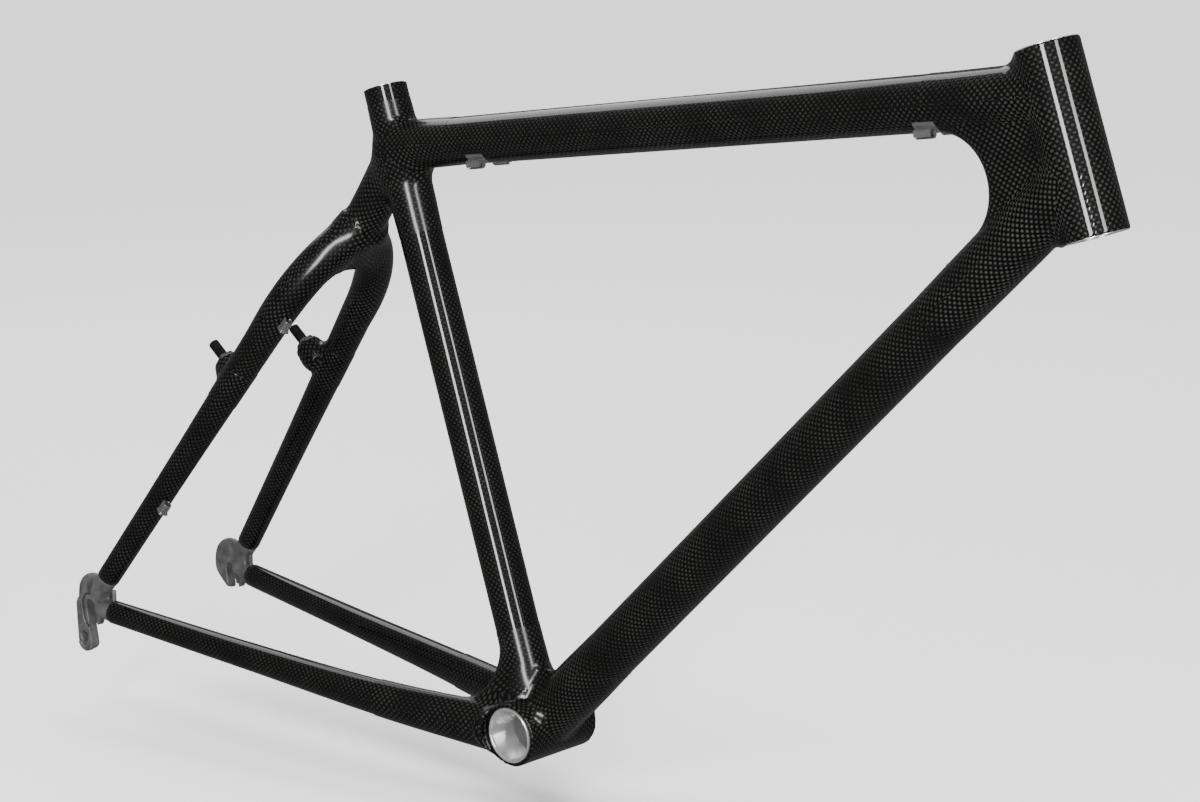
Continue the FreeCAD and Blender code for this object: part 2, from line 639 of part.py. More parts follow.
CHAINSTAY_COVER = [
    (CHAINSTAY_WAIST, 14.0 + WRAP, 11.0 + WRAP),
    ((CHAINSTAY_WAIST + CHAINSTAY_FRONT) / 2, 16.2 + WRAP, 10.9 + WRAP),
    (CHAINSTAY_FRONT, 18.0 + WRAP, 10.5 + WRAP),
]
stay_cover = lofted(CHAINSTAY_COVER)
bracket_cover = wrapped([
    rod(shell_low + SIDEWAYS, shell_high - SIDEWAYS, SHELL_RADIUS + WRAP),
    rod(ORIGIN, seat_up * BRACKET_WRAP_ON_SEAT, SEAT_RADIUS + WRAP),
    rod(ORIGIN, down_forward * BRACKET_WRAP_ON_DOWN, DOWN_RADIUS + WRAP),
], BRACKET_FILLET)
bracket_wrap = fuse_all([bracket_cover, stay_cover, mirrored(stay_cover)])
bracket_wrap = cut_all(bracket_wrap, [
    shell_passage,
    seat_solid,
    down_solid,
    chainstay_solid,
    mirrored(chainstay_solid),
])
parts["bottom_bracket_wrap"] = largest_solid(bracket_wrap)

# ---- one STEP file for each piece ---------------------------------------------------

os.makedirs("parts", exist_ok=True)
for name, shape in parts.items():
    shape.exportStep("parts/" + name + ".step")
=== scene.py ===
import math

import bmesh
import bpy
import numpy as np
from mathutils import Matrix, Vector


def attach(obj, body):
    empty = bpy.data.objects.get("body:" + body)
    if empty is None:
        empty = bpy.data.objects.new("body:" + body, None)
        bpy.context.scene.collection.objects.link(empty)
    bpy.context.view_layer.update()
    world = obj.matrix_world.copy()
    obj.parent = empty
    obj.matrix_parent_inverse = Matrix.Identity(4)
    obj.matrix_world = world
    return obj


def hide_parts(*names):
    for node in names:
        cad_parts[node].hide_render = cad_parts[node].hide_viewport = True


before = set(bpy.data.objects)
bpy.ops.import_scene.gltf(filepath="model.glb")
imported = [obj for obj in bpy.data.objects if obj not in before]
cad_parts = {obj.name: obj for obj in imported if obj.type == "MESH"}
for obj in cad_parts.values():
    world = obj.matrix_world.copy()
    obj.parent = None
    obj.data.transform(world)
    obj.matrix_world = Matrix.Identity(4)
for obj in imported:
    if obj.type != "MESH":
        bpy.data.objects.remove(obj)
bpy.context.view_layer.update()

# Lengths are in millimetres in the frame's own axes and become metres in make_mesh().
MM = 0.001
Y = np.array([0.0, 1.0, 0.0])


def vec(*numbers):
    return np.array(numbers, float)


def unit(v):
    return v / np.linalg.norm(v)


def mirror(rows):
    """The same stations on the other side of the frame."""
    rows = np.array(rows, float)
    rows[..., 1] *= -1
    return rows


# ---- main lines -----------------------------------------------------------------

def tube_direction(angle):
    return vec(-math.cos(math.radians(angle)), 0, math.sin(math.radians(angle)))


SEAT_ANGLE = 72.6
HEAD_ANGLE = 71.5
SEAT_LENGTH = 471.0
HEAD_LENGTH = 118.0
TOP_TUBE_UP_SEAT = 427.0
TOP_TUBE_UP_HEAD = 88.0
DOWN_TUBE_UP_HEAD = 38.5
STAY_ANGLE = 50.9
STAY_FOOT_SIDE = 75.0
STAY_LEAN = 0.098

BRACKET = vec(0, 0, 0)
SEAT_UP = tube_direction(SEAT_ANGLE)
HEAD_UP = tube_direction(HEAD_ANGLE)
SEAT_TOP = SEAT_UP * SEAT_LENGTH
HEAD_BOTTOM = vec(470.0, 0, 394.4)
HEAD_TOP = HEAD_BOTTOM + HEAD_UP * HEAD_LENGTH
TOP_REAR = SEAT_UP * TOP_TUBE_UP_SEAT
TOP_FRONT = HEAD_BOTTOM + HEAD_UP * TOP_TUBE_UP_HEAD
DOWN_FRONT = HEAD_BOTTOM + HEAD_UP * DOWN_TUBE_UP_HEAD
TOP_ALONG = unit(TOP_FRONT - TOP_REAR)
DOWN_ALONG = unit(DOWN_FRONT)
TOP_NORMAL = vec(-TOP_ALONG[2], 0, TOP_ALONG[0])
AXLE = vec(-422.5, 0, 31.0)
STAY_SLOPE = math.radians(STAY_ANGLE)
STAY_UP = vec(math.cos(STAY_SLOPE), 0, math.sin(STAY_SLOPE))
STAY_BACK = vec(-STAY_UP[2], 0, STAY_UP[0])


def on_stay(up, side, back=0.0):
    """A point so far up from the axle, out to the left and behind the stay plane."""
    return AXLE + STAY_UP * up + Y * side + STAY_BACK * back


def stay_axis(up):
    """The left stay's middle: it leans in towards the frame's plane as it rises."""
    return on_stay(up, STAY_FOOT_SIDE - STAY_LEAN * up)


def station(centre, half_height, half_width=None):
    """One row of a limb: its middle, half height and half width there."""
    return [*centre, half_height, half_height if half_width is None else half_width]


# ---- limbs: oval bars along smooth paths -----------------------------------------

ROW_SPACING = 1.5
COARSE_STRIDE = 6


def catmull(rows, count):
    """Rows evenly spread along a smooth curve through the given rows."""
    rows = np.array(rows, float)
    if len(rows) == 2:
        t = np.linspace(0, 1, count)[:, None]
        return rows[0] * (1 - t) + rows[1] * t
    gaps = np.linalg.norm(np.diff(rows[:, :3], axis=0), axis=1)
    at = np.concatenate([[0], np.cumsum(gaps)])
    slopes = np.gradient(rows, at, axis=0)
    t = np.linspace(0, at[-1], count)
    k = np.clip(np.searchsorted(at, t, side="right") - 1, 0, len(rows) - 2)
    h = gaps[k][:, None]
    x = ((t - at[k])[:, None]) / h
    a = (1 + 2 * x) * (1 - x) ** 2
    b = x * (1 - x) ** 2
    c = x * x * (3 - 2 * x)
    d = x * x * (x - 1)
    return a * rows[k] + b * h * slopes[k] + c * rows[k + 1] + d * h * slopes[k + 1]


class Limb:
    """An oval bar along a path, as a distance field, weave coordinates and a mesh."""

    def __init__(self, rows, grow=0.0):
        rows = np.array(rows, float)
        length = np.linalg.norm(np.diff(rows[:, :3], axis=0), axis=1).sum()
        self.straight = len(rows) == 2
        self.table = catmull(rows, 2 if self.straight else max(int(length / ROW_SPACING), 8))
        self.table[:, 3:] += grow
        steps = np.linalg.norm(np.diff(self.table[:, :3], axis=0), axis=1)
        self.s = np.concatenate([[0], np.cumsum(steps)])
        self.length = self.s[-1]
        tangent = np.gradient(self.table[:, :3], self.s, axis=0)
        self.tangent = tangent / np.linalg.norm(tangent, axis=1)[:, None]
        self.side = Y if abs(self.tangent[0, 1]) < 0.9 else vec(1, 0, 0)

    def at(self, s):
        """Centre, half height, half width and direction at distances along the limb."""
        inside = np.clip(s, 0, self.length)
        row = np.stack([np.interp(inside, self.s, self.table[:, k]) for k in range(5)], 1)
        along = np.stack([np.interp(inside, self.s, self.tangent[:, k]) for k in range(3)], 1)
        along /= np.linalg.norm(along, axis=1)[:, None]
        centre = row[:, :3] + along * (s - inside)[:, None]
        return centre, row[:, 3], row[:, 4], along

    def section(self, along):
        """Unit directions across and up each section."""
        across = self.side - along * (along @ self.side)[:, None]
        across /= np.linalg.norm(across, axis=1)[:, None]
        return across, np.cross(along, across)

    def nearest(self, p):
        """How far along the limb each point is."""
        if self.straight:
            return (p - self.table[0, :3]) @ self.tangent[0]
        coarse = self.table[::COARSE_STRIDE, :3]
        marks = self.s[::COARSE_STRIDE]
        best = np.full(len(p), 1e18)
        s = np.zeros(len(p))
        for centre, mark in zip(coarse, marks):
            gap = ((p - centre) ** 2).sum(1)
            closer = gap < best
            best[closer] = gap[closer]
            s[closer] = mark
        for _ in range(3):
            centre, _, _, along = self.at(s)
            s = s + ((p - centre) * along).sum(1)
        return s

    def locate(self, p):
        """Distance to the limb's skin, distance along it, arc length and girth round it."""
        gap, s, _, turn, mean = self.measure(p)
        return gap, s, turn * mean, 2 * math.pi * mean

    def measure(self, p):
        """Distance to the skin, distance along, the skin's normal, angle and mean radius."""
        s = self.nearest(p)
        centre, high, wide, along = self.at(s)
        across, upright = self.section(along)
        rest = p - centre
        v = (rest * across).sum(1)
        w = (rest * upright).sum(1)
        k = np.sqrt((v / wide) ** 2 + (w / high) ** 2) + 1e-9
        slope = np.sqrt((v / wide ** 2) ** 2 + (w / high ** 2) ** 2) + 1e-9
        gap = (k - 1) * k / slope
        normal = across * (v / wide ** 2)[:, None] + upright * (w / high ** 2)[:, None]
        normal /= slope[:, None]
        return gap, s, normal, np.arctan2(w / high, v / wide), (high + wide) / 2

    def closed(self, p, before=0.0, beyond=0.0):
        """The distance with the limb's two ends closed, and its side's normal."""
        gap, s, normal, _, _ = self.measure(p)
        past = np.maximum(-s - before, s - self.length - beyond)
        return np.maximum(gap, past), normal

    def __call__(self, p):
        return self.locate(p)[0]


def bar(start, end, start_radius, end_radius=None):
    """A straight round limb."""
    end_radius = start_radius if end_radius is None else end_radius
    return Limb([station(start, start_radius), station(end, end_radius)])


# ---- ways to join distance fields -------------------------------------------------

def join(a, b, radius):
    """The union of two fields with a round fillet of this radius between them."""
    u = np.maximum(radius - a, 0)
    v = np.maximum(radius - b, 0)
    return np.maximum(radius, np.minimum(a, b)) - np.sqrt(u * u + v * v)


def blend(first, second, radius):
    """join() for (distance, normal) pairs, true at any angle between the two surfaces."""
    a, a_normal = first
    b, b_normal = second
    c = np.clip((a_normal * b_normal).sum(1), -0.6, 0.995)
    u = radius - a
    v = radius - b
    from_a = (u - c * v) / (1 - c * c)
    from_b = (v - c * u) / (1 - c * c)
    filleted = (from_a > 0) & (from_b > 0)
    outwards = a_normal * from_a[:, None] + b_normal * from_b[:, None]
    size = np.linalg.norm(outwards, axis=1)
    nearer = a < b
    distance = np.where(filleted, radius - size, np.where(nearer, a, b))
    plain = np.where(nearer[:, None], a_normal, b_normal)
    normal = np.where(filleted[:, None], outwards / np.maximum(size, 1e-6)[:, None], plain)
    return distance, normal


def nearest_of(first, second):
    """The plain union of two (distance, normal) pairs."""
    nearer = first[0] < second[0]
    return np.where(nearer, first[0], second[0]), np.where(nearer[:, None], first[1], second[1])


def melt(a, b, width):
    """The union of two fields, melted together over a width."""
    h = np.maximum(width - np.abs(a - b), 0) / width
    return np.minimum(a, b) - h * h * width / 4


def carve(a, b, radius):
    """Field a with b taken out, the new edge rounded."""
    return -join(-a, b, radius)


def slab(flat, across, half_width, edge):
    """A flat shape given by its own field, thickened to half_width with round edges."""
    u = flat + edge
    v = np.abs(across) - half_width + edge
    outside = np.sqrt(np.maximum(u, 0) ** 2 + np.maximum(v, 0) ** 2)
    return np.minimum(np.maximum(u, v), 0) + outside - edge


def polygon(points, a, b):
    """Signed distance to a closed outline in the plane of coordinates a and b."""
    points = np.array(points, float)
    best = np.full(len(a), 1e18)
    inside = np.zeros(len(a), bool)
    for (x0, y0), (x1, y1) in zip(points, np.roll(points, -1, axis=0)):
        ex, ey = x1 - x0, y1 - y0
        wx, wy = a - x0, b - y0
        t = np.clip((wx * ex + wy * ey) / (ex * ex + ey * ey), 0, 1)
        best = np.minimum(best, (wx - ex * t) ** 2 + (wy - ey * t) ** 2)
        crosses = ((y0 > b) != (y1 > b)) & (a < ex * (b - y0) / (ey + 1e-12) + x0)
        inside ^= crosses
    return np.sqrt(best) * np.where(inside, -1, 1)


# ---- from distance fields to meshes ----------------------------------------------

POINTS_PER_BLOCK = 200000
SMOOTHING = 0.6
SHARP_EDGE = math.radians(28)
# a corner takes its shading from the field only this near its surface and its direction
CUT_COSINE = 0.8
SKIN_TOLERANCE = 0.2


def slope_of(field, p, h=0.05):
    """The field's gradient at points p."""
    g = np.empty_like(p)
    for axis in range(3):
        step = np.zeros(3)
        step[axis] = h
        g[:, axis] = (field(p + step) - field(p - step)) / (2 * h)
    return g


def settle(field, p, limit, rounds=3):
    """Moves points onto the field's surface."""
    for _ in range(rounds):
        d = field(p)
        g = slope_of(field, p)
        move = g * (d / np.maximum((g * g).sum(1), 0.05))[:, None]
        size = np.linalg.norm(move, axis=1)[:, None]
        p = p - move * np.minimum(1, limit / np.maximum(size, 1e-9))
    return p


def skin(field, low, high, step, smoothings=8):
    """Vertices and quads on the surface of a field inside a box."""
    axes = [np.arange(a, b + step, step) for a, b in zip(low, high)]
    counts = [len(a) for a in axes]
    grid = np.stack(np.meshgrid(*axes, indexing="ij"), -1).reshape(-1, 3)
    blocks = np.array_split(grid, max(len(grid) // POINTS_PER_BLOCK, 1))
    d = np.concatenate([field(block) for block in blocks])
    inside = d.reshape(counts) < 0
    for axis in range(3):
        edge = [slice(None)] * 3
        for end in (0, -1):
            edge[axis] = end
            inside[tuple(edge)] = False
    corners = np.zeros([n - 1 for n in counts], int)
    for i in (0, 1):
        for j in (0, 1):
            for k in (0, 1):
                corners += inside[i:counts[0] - 1 + i, j:counts[1] - 1 + j, k:counts[2] - 1 + k]
    active = (corners > 0) & (corners < 8)
    number = np.full(active.shape, -1)
    number[active] = np.arange(active.sum())
    p = (np.argwhere(active) + 0.5) * step + np.array([a[0] for a in axes])
    quads = []
    for axis in range(3):
        u, v = (axis + 1) % 3, (axis + 2) % 3
        first = [slice(None)] * 3
        second = [slice(None)] * 3
        first[axis] = slice(0, -1)
        second[axis] = slice(1, None)
        a, b = inside[tuple(first)], inside[tuple(second)]
        at = np.argwhere(a != b)
        leaving = a[tuple(at.T)]
        cell = [at.copy() for _ in range(4)]
        cell[1][:, u] -= 1
        cell[2][:, u] -= 1
        cell[2][:, v] -= 1
        cell[3][:, v] -= 1
        face = np.stack([number[tuple(c.T)] for c in cell], 1)
        face[~leaving] = face[~leaving][:, ::-1]
        quads.append(face)
    quads = np.concatenate(quads)
    p = settle(field, p, step, 2)
    ends = quads[:, [0, 1, 1, 2, 2, 3, 3, 0]].reshape(-1, 2)
    links = np.bincount(ends[:, 0], minlength=len(p)) + np.bincount(ends[:, 1], minlength=len(p))
    for _ in range(smoothings):
        total = np.zeros_like(p)
        for axis in range(3):
            total[:, axis] = np.bincount(ends[:, 0], p[ends[:, 1], axis], len(p))
            total[:, axis] += np.bincount(ends[:, 1], p[ends[:, 0], axis], len(p))
        pull = total / links[:, None] - p
        g = slope_of(field, p)
        g /= np.maximum(np.linalg.norm(g, axis=1), 1e-9)[:, None]
        pull -= g * (pull * g).sum(1)[:, None]
        p = settle(field, p + pull * SMOOTHING, step, 1)
    return settle(field, p, step, 2), quads


def make_mesh(name, p, faces):
    """A mesh object in metres, all of it smooth-shaded."""
    data = bpy.data.meshes.new(name)
    data.from_pydata((np.asarray(p) * MM).tolist(), [], [list(f) for f in faces])
    data.update()
    data.polygons.foreach_set("use_smooth", np.ones(len(data.polygons), bool))
    piece = bpy.data.objects.new(name, data)
    bpy.context.scene.collection.objects.link(piece)
    return piece


def points_of(piece):
    co = np.empty(len(piece.data.vertices) * 3)
    piece.data.vertices.foreach_get("co", co)
    return co.reshape(-1, 3) / MM


def slice_off(piece, point, outwards, only=None, fill=True):
    """Cuts the piece at a plane and drops what lies outwards, within one part of it."""
    mesh = bmesh.new()
    mesh.from_mesh(piece.data)
    verts = [v for v in mesh.verts if only is None or only(v.co / MM)]
    chosen = set(verts)
    edges = [e for e in mesh.edges if e.verts[0] in chosen and e.verts[1] in chosen]
    faces = [f for f in mesh.faces if all(v in chosen for v in f.verts)]
    cut = bmesh.ops.bisect_plane(
        mesh, geom=verts + edges + faces, dist=1e-7, plane_co=Vector(point * MM),
        plane_no=Vector(outwards), clear_outer=True, clear_inner=False)
    rim = [e for e in cut["geom_cut"] if isinstance(e, bmesh.types.BMEdge) and e.is_valid]
    rim = [e for e in rim if e.is_boundary]
    if fill:
        bmesh.ops.edgeloop_fill(mesh, edges=rim)
        for e in rim:
            e.smooth = False
    mesh.to_mesh(piece.data)
    mesh.free()


def bore_rim(mesh, point, axis, radius, tolerance=0.3):
    """From an open end lying in a plane, builds the flat lip in to a bore's edge."""
    rim = []
    for e in mesh.edges:
        if e.is_boundary and all(
                abs((np.array(v.co) / MM - point) @ axis) < tolerance for v in e.verts):
            rim.append(e)
    made = bmesh.ops.extrude_edge_only(mesh, edges=rim)["geom"]
    inner = [g for g in made if isinstance(g, bmesh.types.BMVert)]
    for v in inner:
        offset = np.array(v.co) / MM - point
        offset -= axis * (offset @ axis)
        v.co = Vector((point + unit(offset) * radius) * MM)
    for g in made:
        if isinstance(g, bmesh.types.BMFace):
            g.smooth = False
    loop = [g for g in made if isinstance(g, bmesh.types.BMEdge)]
    for e in rim + loop:
        e.smooth = False
    return loop


def bore_blind(piece, mouth, axis, radius, depth):
    """Opens a round bore from one open end, closed at its foot."""
    mesh = bmesh.new()
    mesh.from_mesh(piece.data)
    loop = bore_rim(mesh, mouth, axis, radius)
    made = bmesh.ops.extrude_edge_only(mesh, edges=loop)["geom"]
    for g in made:
        if isinstance(g, bmesh.types.BMVert):
            g.co -= Vector(axis * depth * MM)
        if isinstance(g, bmesh.types.BMFace):
            g.smooth = True
    foot = [g for g in made if isinstance(g, bmesh.types.BMEdge)]
    bmesh.ops.edgeloop_fill(mesh, edges=[e for e in foot if e.is_boundary])
    bmesh.ops.recalc_face_normals(mesh, faces=mesh.faces[:])
    mesh.to_mesh(piece.data)
    mesh.free()


def corners_of(data):
    """The face and the vertex of every face corner."""
    counts = np.empty(len(data.polygons), int)
    data.polygons.foreach_get("loop_total", counts)
    vertex = np.empty(len(data.loops), int)
    data.loops.foreach_get("vertex_index", vertex)
    return np.repeat(np.arange(len(counts)), counts), vertex


def shade_from(piece, field):
    """Takes the skin's shading from the field, so that highlights run clean."""
    data = piece.data
    p = points_of(piece)
    g = slope_of(field, p)
    g /= np.maximum(np.linalg.norm(g, axis=1), 1e-9)[:, None]
    face_normal = np.empty(len(data.polygons) * 3)
    data.polygons.foreach_get("normal", face_normal)
    face_normal = face_normal.reshape(-1, 3)
    corner_face, corner_vertex = corners_of(data)
    normal = g[corner_vertex]
    agrees = (normal * face_normal[corner_face]).sum(1) > CUT_COSINE
    on_skin = np.abs(field(p))[corner_vertex] < SKIN_TOLERANCE
    normal[~(agrees & on_skin)] = 0
    data.normals_split_custom_set(normal.tolist())


# one unit of the weave map, and how far past its ends a limb still owns faces
MAP_UNIT = 100.0
END_OVERRUN = 3.0


def lay_weave(piece, limbs):
    """Weave coordinates: along and round whichever limb each face lies on."""
    data = piece.data
    p = points_of(piece)
    corner_face, corner_vertex = corners_of(data)
    centre = np.empty(len(data.polygons) * 3)
    data.polygons.foreach_get("center", centre)
    centre = centre.reshape(-1, 3) / MM
    gaps = np.stack([np.abs(limb.closed(centre, END_OVERRUN, END_OVERRUN)[0]) for limb in limbs])
    owner = gaps.argmin(0)
    uv = np.zeros((len(corner_vertex), 2))
    for k, limb in enumerate(limbs):
        _, s, turn, girth = limb.locate(p)
        _, _, face_turn, _ = limb.locate(centre)
        mine = owner[corner_face] == k
        v = corner_vertex[mine]
        f = corner_face[mine]
        round_it = turn[v]
        round_it -= girth[v] * np.round((round_it - face_turn[f]) / girth[v])
        uv[mine, 0] = s[v]
        uv[mine, 1] = round_it
    layer = data.uv_layers.new(name="Weave")
    layer.data.foreach_set("uv", (uv / MAP_UNIT).ravel())


def swept(name, limb, start, end, spacing=4.0, sides=72, hollow=None):
    """A capped tube along a limb, with weave coordinates that run along it."""
    count = max(int((end - start) / spacing), 2) + 1
    s = np.linspace(start, end, count)
    centre, high, wide, along = limb.at(s)
    across, upright = limb.section(along)
    turn = np.linspace(0, 2 * math.pi, sides, endpoint=False)
    p = (centre[:, None] + across[:, None] * (wide[:, None] * np.cos(turn))[..., None]
         + upright[:, None] * (high[:, None] * np.sin(turn))[..., None]).reshape(-1, 3)
    i = np.arange(count - 1)[:, None] * sides
    j = np.arange(sides)[None]
    k = (j + 1) % sides
    faces = np.stack([i + j, i + k, i + sides + k, i + sides + j], -1).reshape(-1, 4).tolist()
    faces.append(list(range(sides))[::-1])
    if hollow is None:
        faces.append(list(range((count - 1) * sides, count * sides)))
    piece = make_mesh(name, p, faces)
    for f in list(piece.data.polygons)[(count - 1) * sides:]:
        f.use_smooth = False
    if hollow is not None:
        radius, depth = hollow
        bore_blind(piece, centre[-1], along[-1], radius, depth)
    lay_weave(piece, [limb])
    return piece


def lathe(name, profile, origin, axis, sides=64, closed=False):
    """A turned part: (radius, distance along the axis) points, revolved."""
    axis = unit(axis)
    side = unit(np.cross(axis, Y if abs(axis[1]) < 0.9 else vec(1, 0, 0)))
    other = np.cross(axis, side)
    turn = np.linspace(0, 2 * math.pi, sides, endpoint=False)
    rings = []
    p = []
    for radius, along in profile:
        if radius < 1e-6:
            rings.append([len(p)])
            p.append(origin + axis * along)
        else:
            rings.append(list(range(len(p), len(p) + sides)))
            for t in turn:
                p.append(origin + axis * along + (side * math.cos(t) + other * math.sin(t)) * radius)
    pairs = list(zip(rings, rings[1:] + rings[:1])) if closed else list(zip(rings, rings[1:]))
    faces = []
    for a, b in pairs:
        for j in range(sides):
            k = (j + 1) % sides
            if len(a) == 1:
                faces.append([a[0], b[j], b[k]])
            elif len(b) == 1:
                faces.append([a[j], a[k], b[0]][::-1])
            else:
                faces.append([a[j], b[j], b[k], a[k]])
    piece = make_mesh(name, p, faces)
    mesh = bmesh.new()
    mesh.from_mesh(piece.data)
    bmesh.ops.recalc_face_normals(mesh, faces=mesh.faces[:])
    for e in mesh.edges:
        if len(e.link_faces) == 2 and e.calc_face_angle() > SHARP_EDGE:
            e.smooth = False
    mesh.to_mesh(piece.data)
    mesh.free()
    return piece


# ---- materials ---------------------------------------------------------------------

# heights of the fine relief, in metres
TOW_HEIGHT = 0.0004
RIPPLE_HEIGHT = 0.0006
GRAIN_HEIGHT = 0.0002
LACQUER_IOR = 1.42


def new_material(name):
    material = bpy.data.materials.new(name)
    material.use_nodes = True
    tree = material.node_tree
    shader = next(n for n in tree.nodes if n.type == "BSDF_PRINCIPLED")
    return material, tree, shader


def maths(tree, kind, a, b=None):
    node = tree.nodes.new("ShaderNodeMath")
    node.operation = kind
    for socket, value in zip(node.inputs, (a, b)):
        if value is None:
            continue
        if isinstance(value, (int, float)):
            socket.default_value = value
        else:
            tree.links.new(value, socket)
    return node.outputs[0]


def ramp(tree, source, stops):
    node = tree.nodes.new("ShaderNodeValToRGB")
    tree.links.new(source, node.inputs[0])
    node.color_ramp.elements[0].position = stops[0][0]
    node.color_ramp.elements[0].color = (*[stops[0][1]] * 3, 1)
    node.color_ramp.elements[1].position = stops[-1][0]
    node.color_ramp.elements[1].color = (*[stops[-1][1]] * 3, 1)
    for place, tone in stops[1:-1]:
        node.color_ramp.elements.new(place).color = (*[tone] * 3, 1)
    return node.outputs[0]


def noise(tree, scale, detail):
    node = tree.nodes.new("ShaderNodeTexNoise")
    node.inputs["Scale"].default_value = scale
    node.inputs["Detail"].default_value = detail
    place = tree.nodes.new("ShaderNodeTexCoord").outputs["Object"]
    tree.links.new(place, node.inputs["Vector"])
    return node.outputs["Fac"]


def bump(tree, height, strength, distance):
    node = tree.nodes.new("ShaderNodeBump")
    node.inputs["Strength"].default_value = strength
    node.inputs["Distance"].default_value = distance
    tree.links.new(height, node.inputs["Height"])
    return node.outputs["Normal"]


def carbon(name, pitch, tow_tone, ground, depth, coat_roughness):
    """Plain-weave carbon under clear lacquer; the tows run at 45 degrees to the tube."""
    material, tree, shader = new_material(name)
    uv = tree.nodes.new("ShaderNodeUVMap")
    uv.uv_map = "Weave"
    split = tree.nodes.new("ShaderNodeSeparateXYZ")
    tree.links.new(uv.outputs[0], split.inputs[0])
    per_tow = math.pi * MAP_UNIT / pitch
    wander = maths(tree, "MULTIPLY", noise(tree, 60.0, 2.0), 0.006)
    along = maths(tree, "ADD", split.outputs[0], wander)
    warp = maths(tree, "SINE", maths(tree, "MULTIPLY", along, per_tow))
    weft = maths(tree, "SINE", maths(tree, "MULTIPLY", split.outputs[1], per_tow))
    both = maths(tree, "MULTIPLY", warp, weft)
    pillow = maths(tree, "POWER", maths(tree, "ABSOLUTE", both), 0.5)
    on_top = ramp(tree, maths(tree, "ADD", maths(tree, "MULTIPLY", both, 0.5), 0.5),
                  [(0.55, 0.0), (0.92, 1.0)])
    tone = maths(tree, "MULTIPLY", on_top, tow_tone)
    blotch = ramp(tree, noise(tree, 35.0, 3.0), [(0.3, 0.35), (0.7, 1.5)])
    tone = maths(tree, "ADD", maths(tree, "MULTIPLY", tone, blotch), ground)
    colour = tree.nodes.new("ShaderNodeCombineColor")
    tree.links.new(tone, colour.inputs[0])
    tree.links.new(tone, colour.inputs[1])
    tree.links.new(maths(tree, "MULTIPLY", tone, 0.9), colour.inputs[2])
    tree.links.new(colour.outputs[0], shader.inputs["Base Color"])
    shader.inputs["Roughness"].default_value = 0.42
    shader.inputs["Specular IOR Level"].default_value = 0.06
    tree.links.new(bump(tree, pillow, depth, TOW_HEIGHT), shader.inputs["Normal"])
    shader.inputs["Coat Weight"].default_value = 1.0
    shader.inputs["Coat Roughness"].default_value = coat_roughness
    shader.inputs["Coat IOR"].default_value = LACQUER_IOR
    ripple = noise(tree, 18.0, 1.0)
    tree.links.new(bump(tree, ripple, 0.25, RIPPLE_HEIGHT), shader.inputs["Coat Normal"])
    return material


def metal(name, tone, roughness, grain, grain_depth, metallic, grain_scale=900.0, shine=0.5):
    """A metal with an uneven tone and a fine surface grain."""
    material, tree, shader = new_material(name)
    low, high = 1 - grain, 1 + grain
    patch = ramp(tree, noise(tree, 120.0, 4.0), [(0.3, low), (0.7, high)])
    colour = tree.nodes.new("ShaderNodeCombineColor")
    for k in range(3):
        tree.links.new(maths(tree, "MULTIPLY", patch, tone), colour.inputs[k])
    tree.links.new(colour.outputs[0], shader.inputs["Base Color"])
    shader.inputs["Metallic"].default_value = metallic
    shader.inputs["Specular IOR Level"].default_value = shine
    rough = ramp(tree, noise(tree, 260.0, 3.0), [(0.3, roughness * low), (0.7, roughness * high)])
    tree.links.new(rough, shader.inputs["Roughness"])
    grains = noise(tree, grain_scale, 3.0)
    tree.links.new(bump(tree, grains, grain_depth, GRAIN_HEIGHT), shader.inputs["Normal"])
    return material


WRAP_CARBON = carbon("wrap_carbon", 2.25, 0.018, 0.0008, 0.5, 0.06)
JOINT_CARBON = carbon("joint_carbon", 2.25, 0.016, 0.0008, 0.5, 0.2)
TUBE_CARBON = carbon("tube_carbon", 2.15, 0.011, 0.001, 0.35, 0.06)
CAST_ALLOY = metal("cast_alloy", 0.095, 0.46, 0.42, 0.9, metallic=0.55, grain_scale=420.0)
TURNED_ALLOY = metal("turned_alloy", 0.5, 0.26, 0.04, 0.02, metallic=0.8)
BLACK_STEEL = metal("black_steel", 0.005, 0.42, 0.2, 0.1, metallic=0.0, shine=0.08)
SPRING_STEEL = metal("spring_steel", 0.06, 0.4, 0.4, 0.5, metallic=0.5, shine=0.3)
NICKEL = metal("nickel", 0.17, 0.24, 0.12, 0.1, metallic=0.75)


def finish_piece(piece, material, slot, *nodes):
    """Gives a piece its material and body, and hides the CAD nodes that it stands for; the slot argument is
    not used.
    """
    piece.data.materials.clear()
    piece.data.materials.append(material)
    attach(piece, "root")
    if nodes:
        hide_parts(*nodes)
    return piece


# ---- plain tubes -------------------------------------------------------------------

TOP_RADIUS_REAR = 16.8
TOP_RADIUS_FRONT = 18.2
DOWN_RADIUS = 19.2
SEAT_RADIUS = 15.8
SEAT_BORE = (14.4, 380.0)    # radius and depth
STAY_SIDES = 56

TOP_LIMB = bar(TOP_REAR, TOP_FRONT, TOP_RADIUS_REAR, TOP_RADIUS_FRONT)
DOWN_LIMB = bar(BRACKET, DOWN_FRONT, DOWN_RADIUS)
SEAT_LIMB = bar(BRACKET, SEAT_TOP, SEAT_RADIUS)

finish_piece(swept("top_tube_skin", TOP_LIMB, 50, TOP_LIMB.length - 80),
             TUBE_CARBON, "carbon", "top_tube")
finish_piece(swept("down_tube_skin", DOWN_LIMB, 60, DOWN_LIMB.length - 130),
             TUBE_CARBON, "carbon", "down_tube")
finish_piece(swept("seat_tube_skin", SEAT_LIMB, 40, 470.4, hollow=SEAT_BORE),
             TUBE_CARBON, "carbon", "seat_tube")

